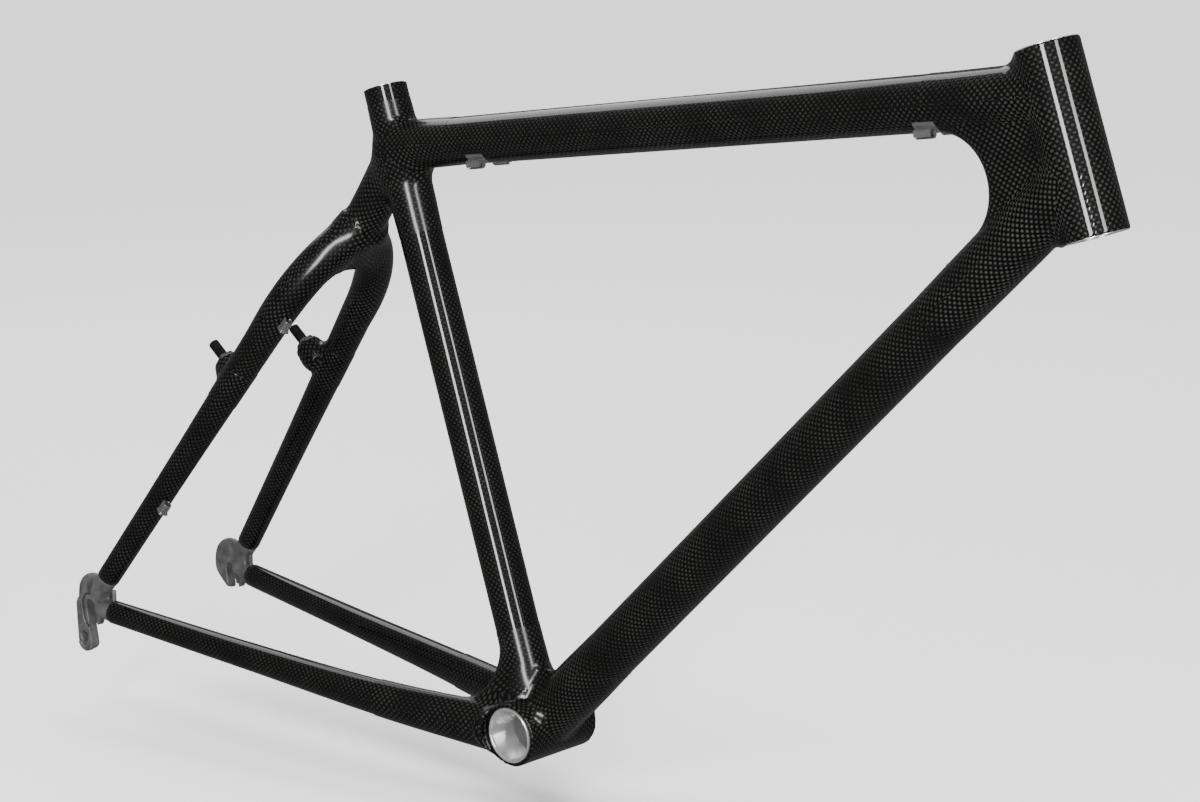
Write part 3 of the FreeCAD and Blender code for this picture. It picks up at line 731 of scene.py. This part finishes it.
CHAINSTAY_END = vec(-397.5, 71.0, 29.0)
SEATSTAY_FOOT = 33.5
CHAINSTAY_ROWS = [
    station(CHAINSTAY_END, 9.1),
    station(vec(-250.0, 56.5, 16.5), 10.6),
    station(vec(-110.0, 40.5, 5.0), 14.0, 11.0),
    station(vec(-14.0, 22.5, -1.5), 18.0, 10.5),
]
SEATSTAY_ROWS = [
    station(stay_axis(SEATSTAY_FOOT), 9.0),
    station(stay_axis(150.0), 10.0),
    station(stay_axis(306.0), 12.6),
]
for side, turn in (("left", np.array), ("right", mirror)):
    limb = Limb(turn(CHAINSTAY_ROWS))
    finish_piece(swept("chainstay_" + side + "_skin", limb, 0, limb.length - 60, sides=STAY_SIDES),
                 TUBE_CARBON, "carbon", "chainstay_" + side)
    limb = Limb(turn(SEATSTAY_ROWS))
    finish_piece(swept("seatstay_" + side + "_skin", limb, 0, limb.length, sides=STAY_SIDES),
                 TUBE_CARBON, "carbon", "seatstay_" + side)

# ---- head joint ----------------------------------------------------------------------

# the grid step that the skins' own steps are fractions of
FINE = 2.0
HEAD_RADIUS = 20.2
HEAD_OVERRUN = 20
head_limb = bar(HEAD_BOTTOM - HEAD_UP * HEAD_OVERRUN, HEAD_TOP + HEAD_UP * HEAD_OVERRUN, HEAD_RADIUS)


def wrap_rows(start, along, reaches, radii):
    """Stations of a wrap over a straight tube."""
    return [station(start + along * reach, radius) for reach, radius in zip(reaches, radii)]


def ended(limb, p, rear=0.0, front=0.0):
    """The limb's field with its two ends closed, a little beyond its path."""
    return limb.closed(p, rear, front)[0]


def around(p, origin, axis):
    """Distance along an axis and distance out from it."""
    rest = p - origin
    along = rest @ axis
    return along, np.linalg.norm(rest - along[:, None] * axis, axis=1)


head_top_limb = Limb(wrap_rows(
    TOP_FRONT, -TOP_ALONG, (0, 30, 62, 78, 110), (19.0, 19.0, 18.5, 18.3, 18.3)))
head_down_limb = Limb(wrap_rows(
    DOWN_FRONT, -DOWN_ALONG, (0, 60, 110, 140, 170), (20.0, 20.0, 19.7, 19.35, 19.35)))
TUBE_FILLET = 11.0
GUSSET_FILLET = 8.0
GUSSET_HALF_WIDTH = 12.5
GUSSET_EDGE = 9.0
GUSSET_CENTRE = vec(361.0, 0, 414.2)
GUSSET_RADIUS = 35.0
GUSSET_OUTLINE = [(446, 474), (300, 456), (300, 282), (462, 422)]
HEAD_BORE = 18.0
HEAD_FACES = (0.3, 117.7)


class Gusset:
    """The web behind the head tube, hollowed round between the other two tubes."""

    def __call__(self, p):
        inside = polygon(GUSSET_OUTLINE, p[:, 0], p[:, 2])
        x, z = p[:, 0] - GUSSET_CENTRE[0], p[:, 2] - GUSSET_CENTRE[2]
        reach = np.hypot(x, z)
        for along, sign in ((TOP_ALONG, 1), (DOWN_ALONG, -1)):
            s = -(x * along[0] + z * along[2])
            off = sign * (z * along[0] - x * along[2])
            reach = np.where(s > 0, np.minimum(reach, np.maximum(off, 0)), reach)
        under_top = z * TOP_ALONG[0] - x * TOP_ALONG[2] < 0
        over_down = z * DOWN_ALONG[0] - x * DOWN_ALONG[2] > 0
        reach = np.where(under_top & over_down & (x < 0), 0, reach)
        return slab(np.maximum(inside, GUSSET_RADIUS - reach), p[:, 1], GUSSET_HALF_WIDTH, GUSSET_EDGE)

    def closed(self, p, before=0.0, beyond=0.0):
        slope = slope_of(self, p, 0.2)
        return self(p), slope / np.maximum(np.linalg.norm(slope, axis=1), 1e-6)[:, None]

    def locate(self, p):
        """Flat weave coordinates that carry on from those of the head tube's sides."""
        rest = p - HEAD_BOTTOM
        behind = -(rest @ np.cross(Y, HEAD_UP))
        side = np.where(p[:, 1] > 0, 1.0, -1.0)
        return self(p), rest @ HEAD_UP + HEAD_OVERRUN, side * behind, np.full(len(p), 1e6)


gusset = Gusset()


def head_field(p):
    tubes = blend(head_limb.closed(p), head_top_limb.closed(p, 2, 40), TUBE_FILLET)
    tubes = blend(tubes, head_down_limb.closed(p, 2, 40), TUBE_FILLET)
    solid, _ = blend(tubes, gusset.closed(p), GUSSET_FILLET)
    along, out = around(p, HEAD_BOTTOM, HEAD_UP)
    beyond = np.maximum(HEAD_FACES[0] - along, along - HEAD_FACES[1])
    solid = carve(solid, np.maximum(-beyond, out - 25.0), 0.8)
    return carve(solid, out - HEAD_BORE, 0.6)


head_piece = make_mesh(
    "head_joint_skin", *skin(head_field, (325, -26, 300), (500, 26, 525), FINE * 0.75))
slice_off(head_piece, TOP_FRONT - TOP_ALONG * 92, -TOP_ALONG, lambda p: p[2] > 440)
slice_off(head_piece, DOWN_FRONT - DOWN_ALONG * 140, -DOWN_ALONG, lambda p: p[2] < 400)
shade_from(head_piece, head_field)
lay_weave(head_piece, [head_limb, head_top_limb, head_down_limb, gusset])
finish_piece(head_piece, WRAP_CARBON, "carbon", "head_joint_wrap", "head_tube")

# ---- yoke and seat joint ----------------------------------------------------------------

LEG_ROWS = [
    station(stay_axis(296.0), 12.45),
    station(stay_axis(330.0), 13.6),
    station(on_stay(352.0, 37.0, 0.5), 14.0),
    station(on_stay(375.0, 26.0, 1.5), 14.2, 14.0),
    station(on_stay(398.0, 9.0, 2.5), 14.5, 12.0),
]
MONOSTAY_ROWS = [
    station(on_stay(375.0, 0.0, 2.0), 13.6, 22.0),
    station(on_stay(400.0, 0.0, 3.0), 14.6, 17.0),
    station(on_stay(430.0, 0.0, 4.0), 15.5, 14.5),
    station(on_stay(462.0, 0.0, 5.0), 17.0, 14.0),
]
legs = [Limb(LEG_ROWS), Limb(mirror(LEG_ROWS))]
monostay = Limb(MONOSTAY_ROWS)


def yoke_field(p):
    both = melt(ended(legs[0], p, 4, 4), ended(legs[1], p, 4, 4), 12.0)
    return melt(both, ended(monostay, p, 4, 4), 10.0)


SEAT_WRAP_FOOT = 362
SEAT_WRAP_TOP = 459
SEAT_WRAP_FRONT = 62
seat_limb = Limb(wrap_rows(
    BRACKET, SEAT_UP, (340, SEAT_WRAP_FOOT, 385, 440, SEAT_WRAP_TOP, 480),
    (15.95, 16.0, 16.6, 16.6, 16.0, 15.9)))
seat_top_limb = Limb(wrap_rows(
    TOP_REAR, TOP_ALONG, (0, 40, SEAT_WRAP_FRONT, 80), (17.7, 17.6, 17.1, 17.05)))


def seat_field(p):
    above = (p - TOP_REAR) @ TOP_NORMAL
    ahead = (p - TOP_REAR) @ TOP_ALONG
    fillet = np.interp(above, (-20, 12), (14.0, 6.0))
    tubes = join(seat_limb(p), np.where(ahead > -2, seat_top_limb(p), 50.0), fillet)
    behind = ahead < 14
    return np.where(behind, join(tubes, yoke_field(p) - 0.3, 11.0), tubes)


yoke_piece = make_mesh("monostay_skin", *skin(yoke_field, (-268, -66, 262), (-120, 66, 432), FINE))
shade_from(yoke_piece, yoke_field)
lay_weave(yoke_piece, legs + [monostay])
finish_piece(yoke_piece, JOINT_CARBON, "carbon", "monostay_yoke")

seat_piece = make_mesh("seat_joint_skin", *skin(seat_field, (-205, -30, 330), (-45, 30, 462), FINE))
slice_off(seat_piece, TOP_REAR + TOP_ALONG * SEAT_WRAP_FRONT, TOP_ALONG, lambda p: p[0] > -90 and p[2] > 380)
slice_off(seat_piece, SEAT_UP * SEAT_WRAP_FOOT, -SEAT_UP, lambda p: p[0] > -130)
slice_off(seat_piece, SEAT_UP * SEAT_WRAP_TOP, SEAT_UP)
slice_off(seat_piece, on_stay(398.0, 0), -STAY_UP, lambda p: p[0] < -135)
shade_from(seat_piece, seat_field)
lay_weave(seat_piece, [seat_limb, seat_top_limb, monostay])
finish_piece(seat_piece, JOINT_CARBON, "carbon", "seat_joint_wrap")

# ---- bottom bracket joint ------------------------------------------------------------------

SHELL_RADIUS = 22.8
shell_limb = bar(vec(0, -33, 0), vec(0, 33, 0), SHELL_RADIUS)
BRACKET_UP_SEAT = 72
BRACKET_UP_DOWN = 95
bracket_seat_limb = Limb(wrap_rows(
    BRACKET, SEAT_UP, (0, 45, BRACKET_UP_SEAT, 100), (16.7, 16.6, 16.0, 15.95)))
bracket_down_limb = Limb(wrap_rows(
    BRACKET, DOWN_ALONG, (0, 60, BRACKET_UP_DOWN, 120), (20.0, 20.0, 19.4, 19.35)))
bracket_stays = [Limb(CHAINSTAY_ROWS, 0.5), Limb(mirror(CHAINSTAY_ROWS), 0.5)]
SHELL_FACE = 33.2
STAY_FILLET = 26.0
SHELL_FILLET = 12.0
SLEEVE_RADIUS = 19.9


def bracket_field(p):
    out = np.hypot(p[:, 0], p[:, 2])
    beyond = np.abs(p[:, 1]) - SHELL_FACE
    radial = np.stack([p[:, 0], np.zeros(len(p)), p[:, 2]], 1) / np.maximum(out, 1e-6)[:, None]
    stays = nearest_of(bracket_stays[0].closed(p), bracket_stays[1].closed(p))
    body = blend(bracket_seat_limb.closed(p, 0, 60), stays, STAY_FILLET)
    body = blend(body, (np.maximum(out - SHELL_RADIUS, beyond), radial), SHELL_FILLET)
    body, _ = blend(body, bracket_down_limb.closed(p, 0, 60), TUBE_FILLET)
    body = carve(body, np.maximum(-beyond, out - SHELL_RADIUS - 1.2), 1.0)
    return carve(body, out - SLEEVE_RADIUS, 0.8)


bracket_piece = make_mesh(
    "bottom_bracket_skin", *skin(bracket_field, (-126, -52, -32), (92, 52, 108), FINE * 0.75))
slice_off(bracket_piece, DOWN_ALONG * BRACKET_UP_DOWN, DOWN_ALONG, lambda p: p[0] > 20)
slice_off(bracket_piece, SEAT_UP * BRACKET_UP_SEAT, SEAT_UP, lambda p: p[0] < 20 and p[2] > 30)
for k, side in enumerate((1, -1)):
    cut_at = bracket_stays[k].at(np.array([bracket_stays[k].length - 112.0]))
    slice_off(bracket_piece, cut_at[0][0], -cut_at[3][0], lambda p: p[0] < -40 and p[1] * side > 0)
shade_from(bracket_piece, bracket_field)
lay_weave(bracket_piece, [shell_limb, bracket_seat_limb, bracket_down_limb] + bracket_stays)
finish_piece(bracket_piece, JOINT_CARBON, "carbon", "bottom_bracket_wrap", "bottom_bracket_shell")

# ---- brake bosses, spring plates and studs ------------------------------------------------------

STUD_UP = 248.5
STUD_SIDE = 40.0
BOSS_END = 22.5
STUD_END = 42.0
BALL_RADIUS = 12.2
BOSS_SKIN = 0.35
PLATE_RADIUS = 7.6
PLATE_HOLE = 0.95
PLATE_PITCH = 6.7
PLATE_HALF = 1.25
COLLAR_RADIUS = 5.0
STAY_GROWN = Limb(SEATSTAY_ROWS, BOSS_SKIN)
BOSS_ROWS = [
    station(on_stay(STUD_UP, STUD_SIDE + 2.0, -2.0), 10.0),
    station(on_stay(STUD_UP, STUD_SIDE, BOSS_END), 10.4),
]
boss_limb = Limb(BOSS_ROWS)


def boss_field(p):
    """The left boss: a rounded lump that runs out along the stay in a thin skin."""
    ball_middle = on_stay(STUD_UP - 1.0, STUD_SIDE + 2.0, 11.0)
    from_ball = p - ball_middle
    reach = np.linalg.norm(from_ball, axis=1)
    ball = reach - BALL_RADIUS, from_ball / np.maximum(reach, 1e-6)[:, None]
    barrel = boss_limb.closed(p, -8.0, 5.0)
    lump = nearest_of((melt(ball[0], barrel[0], 4.0), ball[1]), ball)
    stay, _, normal, _, _ = STAY_GROWN.measure(p)
    up = (p - AXLE) @ STAY_UP
    ends = np.maximum(STUD_UP - 17.0 - up, up - STUD_UP - 19.0)
    body, _ = blend(lump, (np.maximum(stay, ends), normal), 6.5)
    beyond = (p - on_stay(STUD_UP, STUD_SIDE, BOSS_END)) @ boss_limb.tangent[0]
    return carve(body, -beyond, 1.6)


def plate_field(p):
    """The left spring plate: a ring with three drilled ears for the return spring."""
    rest = p - on_stay(STUD_UP, STUD_SIDE, BOSS_END)
    back_by = rest @ STAY_BACK
    u, v = rest @ STAY_UP, rest[:, 1]
    flat = np.hypot(u, v) - PLATE_RADIUS
    for turn in np.radians((-48, 0, 48)):
        ear = np.hypot(u - PLATE_PITCH * math.cos(turn), v - PLATE_PITCH * math.sin(turn))
        flat = join(flat, ear - 2.7, 1.0)
        flat = np.maximum(flat, PLATE_HOLE - ear)
    flat = np.maximum(flat, COLLAR_RADIUS - np.hypot(u, v))
    return slab(flat, back_by - PLATE_HALF, PLATE_HALF, 0.35)


def flipped(field):
    """The same field on the other side of the frame."""
    return lambda p: field(p * vec(1, -1, 1))


STUD_PROFILE = [
    (0, 14), (2.5, 14), (2.5, STUD_END - 0.4), (2.9, STUD_END), (3.4, STUD_END), (4.0, STUD_END - 0.6),
    (4.0, 27.2), (4.4, 26.4), (COLLAR_RADIUS, 26.0), (COLLAR_RADIUS, 20), (0, 20),
]
BOSS_REACH = 32
PLATE_REACH = 11
boss_middle = on_stay(STUD_UP, STUD_SIDE + 4, 9)
plate_middle = on_stay(STUD_UP, STUD_SIDE, 24)
for side, sign in (("left", 1), ("right", -1)):
    field = boss_field if sign == 1 else flipped(boss_field)
    middle = boss_middle * vec(1, sign, 1)
    box = middle - BOSS_REACH, middle + BOSS_REACH
    piece = make_mesh("brake_boss_" + side + "_skin", *skin(field, *box, FINE * 0.6))
    shade_from(piece, field)
    turn = np.array if sign == 1 else mirror
    lay_weave(piece, [Limb(turn(BOSS_ROWS)), Limb(turn(SEATSTAY_ROWS), BOSS_SKIN)])
    finish_piece(piece, JOINT_CARBON, "carbon", "brake_boss_" + side)
    field = plate_field if sign == 1 else flipped(plate_field)
    middle = plate_middle * vec(1, sign, 1)
    box = middle - PLATE_REACH, middle + PLATE_REACH
    piece = make_mesh("spring_plate_" + side + "_ring", *skin(field, *box, 0.5, 4))
    shade_from(piece, field)
    finish_piece(piece, SPRING_STEEL, "spring_steel", "spring_plate_" + side)
    pin = lathe("brake_stud_" + side + "_pin", STUD_PROFILE, on_stay(STUD_UP, STUD_SIDE * sign), STAY_BACK)
    finish_piece(pin, BLACK_STEEL, "black_steel", "brake_stud_" + side)

# ---- dropouts ---------------------------------------------------------------------------------------

PLATE_INNER = 67.5
PLATE_OUTER = 72.5
SLOT_LEAN = math.radians(9.5)
SLOT_DEPTH = 40
SLOT_RADIUS = 5.1
SLOT_FOOT = (SLOT_DEPTH * math.sin(SLOT_LEAN), -SLOT_DEPTH * math.cos(SLOT_LEAN))
HANGER_EYE = (-8.5, -26.5)
HANGER_BORE = 4.3
HOOD_RADIUS = 18.9
HOOD_RISE = 3.6
NUT_RADIUS = 9.0


def capsule(u, w, start, end, radius):
    """Signed distance in a plane to a bar with round ends."""
    ex, ey = end[0] - start[0], end[1] - start[1]
    t = np.clip(((u - start[0]) * ex + (w - start[1]) * ey) / (ex * ex + ey * ey), 0, 1)
    return np.hypot(u - start[0] - ex * t, w - start[1] - ey * t) - radius


def taper(u, w, start, end, start_radius, end_radius):
    """A bar with round ends whose radius changes along it."""
    ex, ey = end[0] - start[0], end[1] - start[1]
    t = np.clip(((u - start[0]) * ex + (w - start[1]) * ey) / (ex * ex + ey * ey), 0, 1)
    reach = np.hypot(u - start[0] - ex * t, w - start[1] - ey * t)
    return reach - start_radius - (end_radius - start_radius) * t


def plate(flat, t, low, high, edge):
    """A flat shape thickened from low to high, with round edges."""
    return slab(flat, t - (low + high) / 2, (high - low) / 2, edge)


seat_along = unit(stay_axis(60.0) - stay_axis(SEATSTAY_FOOT))
seat_socket = bar(stay_axis(SEATSTAY_FOOT + 3), stay_axis(SEATSTAY_FOOT - 19), 9.0, 6.6)
chain_along = unit(Limb(CHAINSTAY_ROWS).at(np.array([0.0]))[3][0])
chain_socket = bar(CHAINSTAY_END + chain_along * 3, CHAINSTAY_END - chain_along * 17, 9.1, 6.4)


def dropout_field(p, hanger):
    """The left dropout, or with the hanger the mirror image of the right one."""
    rest = p - AXLE
    u, t, w = rest[:, 0], rest[:, 1] - PLATE_INNER, rest[:, 2]
    hood = np.hypot(u - 0.5, w - 6.5) - HOOD_RADIUS
    rear_prong = taper(u, w, (-7.5, 0), (-3.5, -12.0), 8.5, 3.6)
    blade = join(rear_prong, capsule(u, w, (-7.5, 1), (9.5, 1), 7.5), 4.0)
    blade = join(blade, capsule(u, w, (8.0, 2), (8.0, -3.4), 4.6), 3.0)
    blade = join(hood, blade, 6.0)
    body = plate(blade, t, 0, PLATE_OUTER - PLATE_INNER, 1.5)
    rise = HOOD_RISE * np.clip(1 - ((u + 1) ** 2 + (w - 12) ** 2) / 17.5 ** 2, 0, 1)
    body = melt(body, plate(hood + 1.0, t, 1.0, 5.0 + rise, 2.4), 2.0)
    sockets = np.minimum(seat_socket.closed(p, 0, 2)[0], chain_socket.closed(p, 0, 2)[0])
    body = join(body, sockets, 3.5)
    strut = bar(AXLE + vec(24.5, 70, 14.5), AXLE + vec(24.0, 70, 2.0), 1.7)
    if hanger:
        arm = capsule(u, w, (-8.5, -2.0), (-8.0, -28.6), 9.2)
        arm = plate(arm, t, 0.5, 8.8, 1.2)
        body = join(body, arm, 2.0)
        lip = np.maximum(np.abs(np.hypot(u + 6.5, w + 28.5) - 8.3) - 1.2, w + 31.5)
        body = join(body, plate(lip, t, 6.0, 10.2, 0.6), 0.8)
        body = carve(body, np.hypot(u - HANGER_EYE[0], w - HANGER_EYE[1]) - HANGER_BORE, 0.6)
    nut = capsule(u, w, (0, 0), (SLOT_FOOT[0] * 0.22, SLOT_FOOT[1] * 0.22), NUT_RADIUS)
    recess = plate(nut - 1.3, t, 6.0, 20.0, 0.3)
    body = carve(body, recess, 0.5)
    body = join(body, plate(nut, t, 2.0, 8.2, 0.7), 0.4)
    seat_end = (p - stay_axis(SEATSTAY_FOOT)) @ seat_along
    chain_end = (p - CHAINSTAY_END) @ chain_along
    above = w > 8
    body = np.maximum(body, np.where(above & (u > 0), seat_end, np.where(u > 15, chain_end, -50.0)))
    body = join(body, strut.closed(p, 1, 1)[0], 1.0)
    return carve(body, capsule(u, w, (0, 0), SLOT_FOOT, SLOT_RADIUS), 0.5)


for side, sign in (("left", 1), ("right", -1)):
    def field(p, sign=sign):
        return dropout_field(p * vec(1, sign, 1), sign < 0)
    corner = AXLE + vec(-20, 0, -41)
    far_corner = AXLE + vec(42, 0, 42)
    corner[1], far_corner[1] = (60, 84) if sign > 0 else (-84, -60)
    piece = make_mesh("dropout_" + side + "_casting", *skin(field, corner, far_corner, FINE * 0.35, 5))
    shade_from(piece, field)
    finish_piece(piece, CAST_ALLOY, "alloy", "dropout_" + side)

# ---- bottom bracket sleeve ---------------------------------------------------------

SHELL_END = 34.0
THREAD_PITCH = 1.06
THREAD_CREST = 17.1
THREAD_ROOT = 17.45
THREAD_STEPS = 40
half = [
    (SLEEVE_RADIUS, 31.0), (SLEEVE_RADIUS, 33.6), (19.5, SHELL_END), (18.6, SHELL_END), (18.2, 33.5),
    (17.9, 32.6), (17.4, 32.4),
]
for turn in range(THREAD_STEPS):
    half.append((THREAD_CREST if turn % 2 else THREAD_ROOT, 32.0 - turn * THREAD_PITCH / 2))
half.append((THREAD_ROOT, 10.0))
whole = half + [(radius, -along) for radius, along in half[::-1]]
finish_piece(lathe("bottom_bracket_sleeve_turned", whole, BRACKET, Y, sides=96, closed=True),
             TURNED_ALLOY, "machined_alloy", "bottom_bracket_sleeve")

# ---- cable guides on the right stay ------------------------------------------------------------------

GUIDE_TURN = math.radians(18)


GUIDE_HALF = 3.1
LIP_HALF = 3.8
HOUSING_RADIUS = 2.3


def guide_piece(name, up, radius):
    """A small open clip that holds a cable housing against the front of the stay."""
    foot = stay_axis(up) * vec(1, -1, 1)
    along = unit((stay_axis(up + 20) - stay_axis(up - 20)) * vec(1, -1, 1))
    outward = -STAY_BACK * math.cos(GUIDE_TURN) - Y * math.sin(GUIDE_TURN)
    outward = unit(outward - along * (along @ outward))
    across = np.cross(along, outward)

    def field(p):
        rest = p - foot
        s, v, w = rest @ along, rest @ across, rest @ outward
        box = slab(np.abs(v) - GUIDE_HALF, w - radius - 1.8, 3.4, 1.2)
        body = slab(box, s, 5.2, 0.9)
        lip = slab(slab(np.abs(v) - LIP_HALF, w - radius - 2.2, LIP_HALF, 1.2), s + 4.3, 1.1, 0.7)
        body = join(body, lip, 0.9)
        housing = np.maximum(np.hypot(v, w - radius - 2.4) - HOUSING_RADIUS, -s - 3.6)
        return carve(body, housing, 0.5)

    middle = foot + outward * (radius + 2)
    piece = make_mesh(name + "_clip", *skin(field, middle - 10, middle + 10, 0.4, 4))
    shade_from(piece, field)
    finish_piece(piece, NICKEL, "nickel", name)


guide_piece("seatstay_guide_lower", 126.0, 9.8)
guide_piece("seatstay_guide_upper", 326.0, 13.4)

# ---- materials of the CAD nodes that stay in view ----------------------------------------------

kept = {
    "headset_sleeve_lower": TURNED_ALLOY, "headset_sleeve_upper": TURNED_ALLOY,
    "seatpost_sleeve": TURNED_ALLOY,
    "stud_insert_left": TURNED_ALLOY, "stud_insert_right": TURNED_ALLOY,
    "cable_stop_front_left": NICKEL, "cable_stop_front_right": NICKEL,
    "cable_stop_rear_left": NICKEL, "cable_stop_rear_right": NICKEL,
}
for name, material in kept.items():
    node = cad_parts[name]
    node.data.materials.clear()
    node.data.materials.append(material)

# ---- floor, lights and camera --------------------------------------------------------------------

FLOOR_HALF = 9
FLOOR_HEIGHT = -0.06
AZIMUTH = 43.45
ELEVATION = 11.78
ROLL = math.radians(1.29)
DISTANCE = 2118.77
TARGET = vec(64.55, 0, 244.8)

floor_data = bpy.data.meshes.new("floor")
corners = [(x * FLOOR_HALF, y * FLOOR_HALF, FLOOR_HEIGHT) for x, y in ((-1, -1), (1, -1), (1, 1), (-1, 1))]
floor_data.from_pydata(corners, [], [(0, 1, 2, 3)])
floor = bpy.data.objects.new("floor", floor_data)
bpy.context.scene.collection.objects.link(floor)
floor_material, _, floor_shader = new_material("pale_floor")
floor_shader.inputs["Base Color"].default_value = (0.86, 0.86, 0.86, 1)
floor_shader.inputs["Roughness"].default_value = 0.9
floor_data.materials.append(floor_material)
floor.visible_glossy = False

world = bpy.data.worlds.new("studio")
world.use_nodes = True
world.node_tree.nodes["Background"].inputs[0].default_value = (1, 1, 1, 1)
world.node_tree.nodes["Background"].inputs[1].default_value = 0.14
bpy.context.scene.world = world


def softbox(name, place, target, width, height, watts):
    """A rectangular lamp that faces a target; lengths in metres."""
    data = bpy.data.lights.new(name, "AREA")
    data.shape = "RECTANGLE"
    data.size = width
    data.size_y = height
    data.energy = watts
    lamp = bpy.data.objects.new(name, data)
    lamp.location = place
    lamp.rotation_euler = (Vector(target) - Vector(place)).to_track_quat("-Z", "Y").to_euler()
    bpy.context.scene.collection.objects.link(lamp)
    return lamp


middle = (0.05, 0.0, 0.28)


def from_middle(degrees, height, distance):
    """A place round the object, its azimuth measured as the camera's is."""
    a = math.radians(degrees)
    return (middle[0] + distance * math.sin(a), -distance * math.cos(a), height)


STRIP_HEIGHT = 1.0
STRIP_DISTANCE = 2.3
STRIP_LENGTH = 2.0
softbox("left_strip", from_middle(AZIMUTH - 18, STRIP_HEIGHT, STRIP_DISTANCE), middle,
        0.42, STRIP_LENGTH, 95)
softbox("right_strip", from_middle(AZIMUTH + 27, STRIP_HEIGHT, STRIP_DISTANCE), middle,
        0.34, STRIP_LENGTH, 45)
softbox("back_panel", (-1.7, 0.8, 1.75), middle, 1.5, 1.3, 14)
sun_data = bpy.data.lights.new("ceiling", "SUN")
sun_data.energy = 5.5
sun_data.angle = math.radians(60)
sun = bpy.data.objects.new("ceiling", sun_data)
sun.visible_glossy = False
bpy.context.scene.collection.objects.link(sun)

azimuth = math.radians(AZIMUTH)
elevation = math.radians(ELEVATION)
level = math.cos(elevation)
back = vec(math.sin(azimuth) * level, -math.cos(azimuth) * level, math.sin(elevation))
right = vec(math.cos(azimuth), math.sin(azimuth), 0)
up = np.cross(back, right)
rolled_right = right * math.cos(ROLL) - up * math.sin(ROLL)
rolled_up = np.cross(back, rolled_right)
camera_data = bpy.data.cameras.new("camera")
camera_data.lens = 92.70
camera_data.sensor_width = 36.0
camera_data.clip_end = 100.0
camera = bpy.data.objects.new("camera", camera_data)
place = (TARGET + back * DISTANCE) * MM
camera.matrix_world = Matrix([
    (rolled_right[0], rolled_up[0], back[0], place[0]),
    (rolled_right[1], rolled_up[1], back[1], place[1]),
    (rolled_right[2], rolled_up[2], back[2], place[2]),
    (0, 0, 0, 1),
])
bpy.context.scene.collection.objects.link(camera)
bpy.context.scene.camera = camera
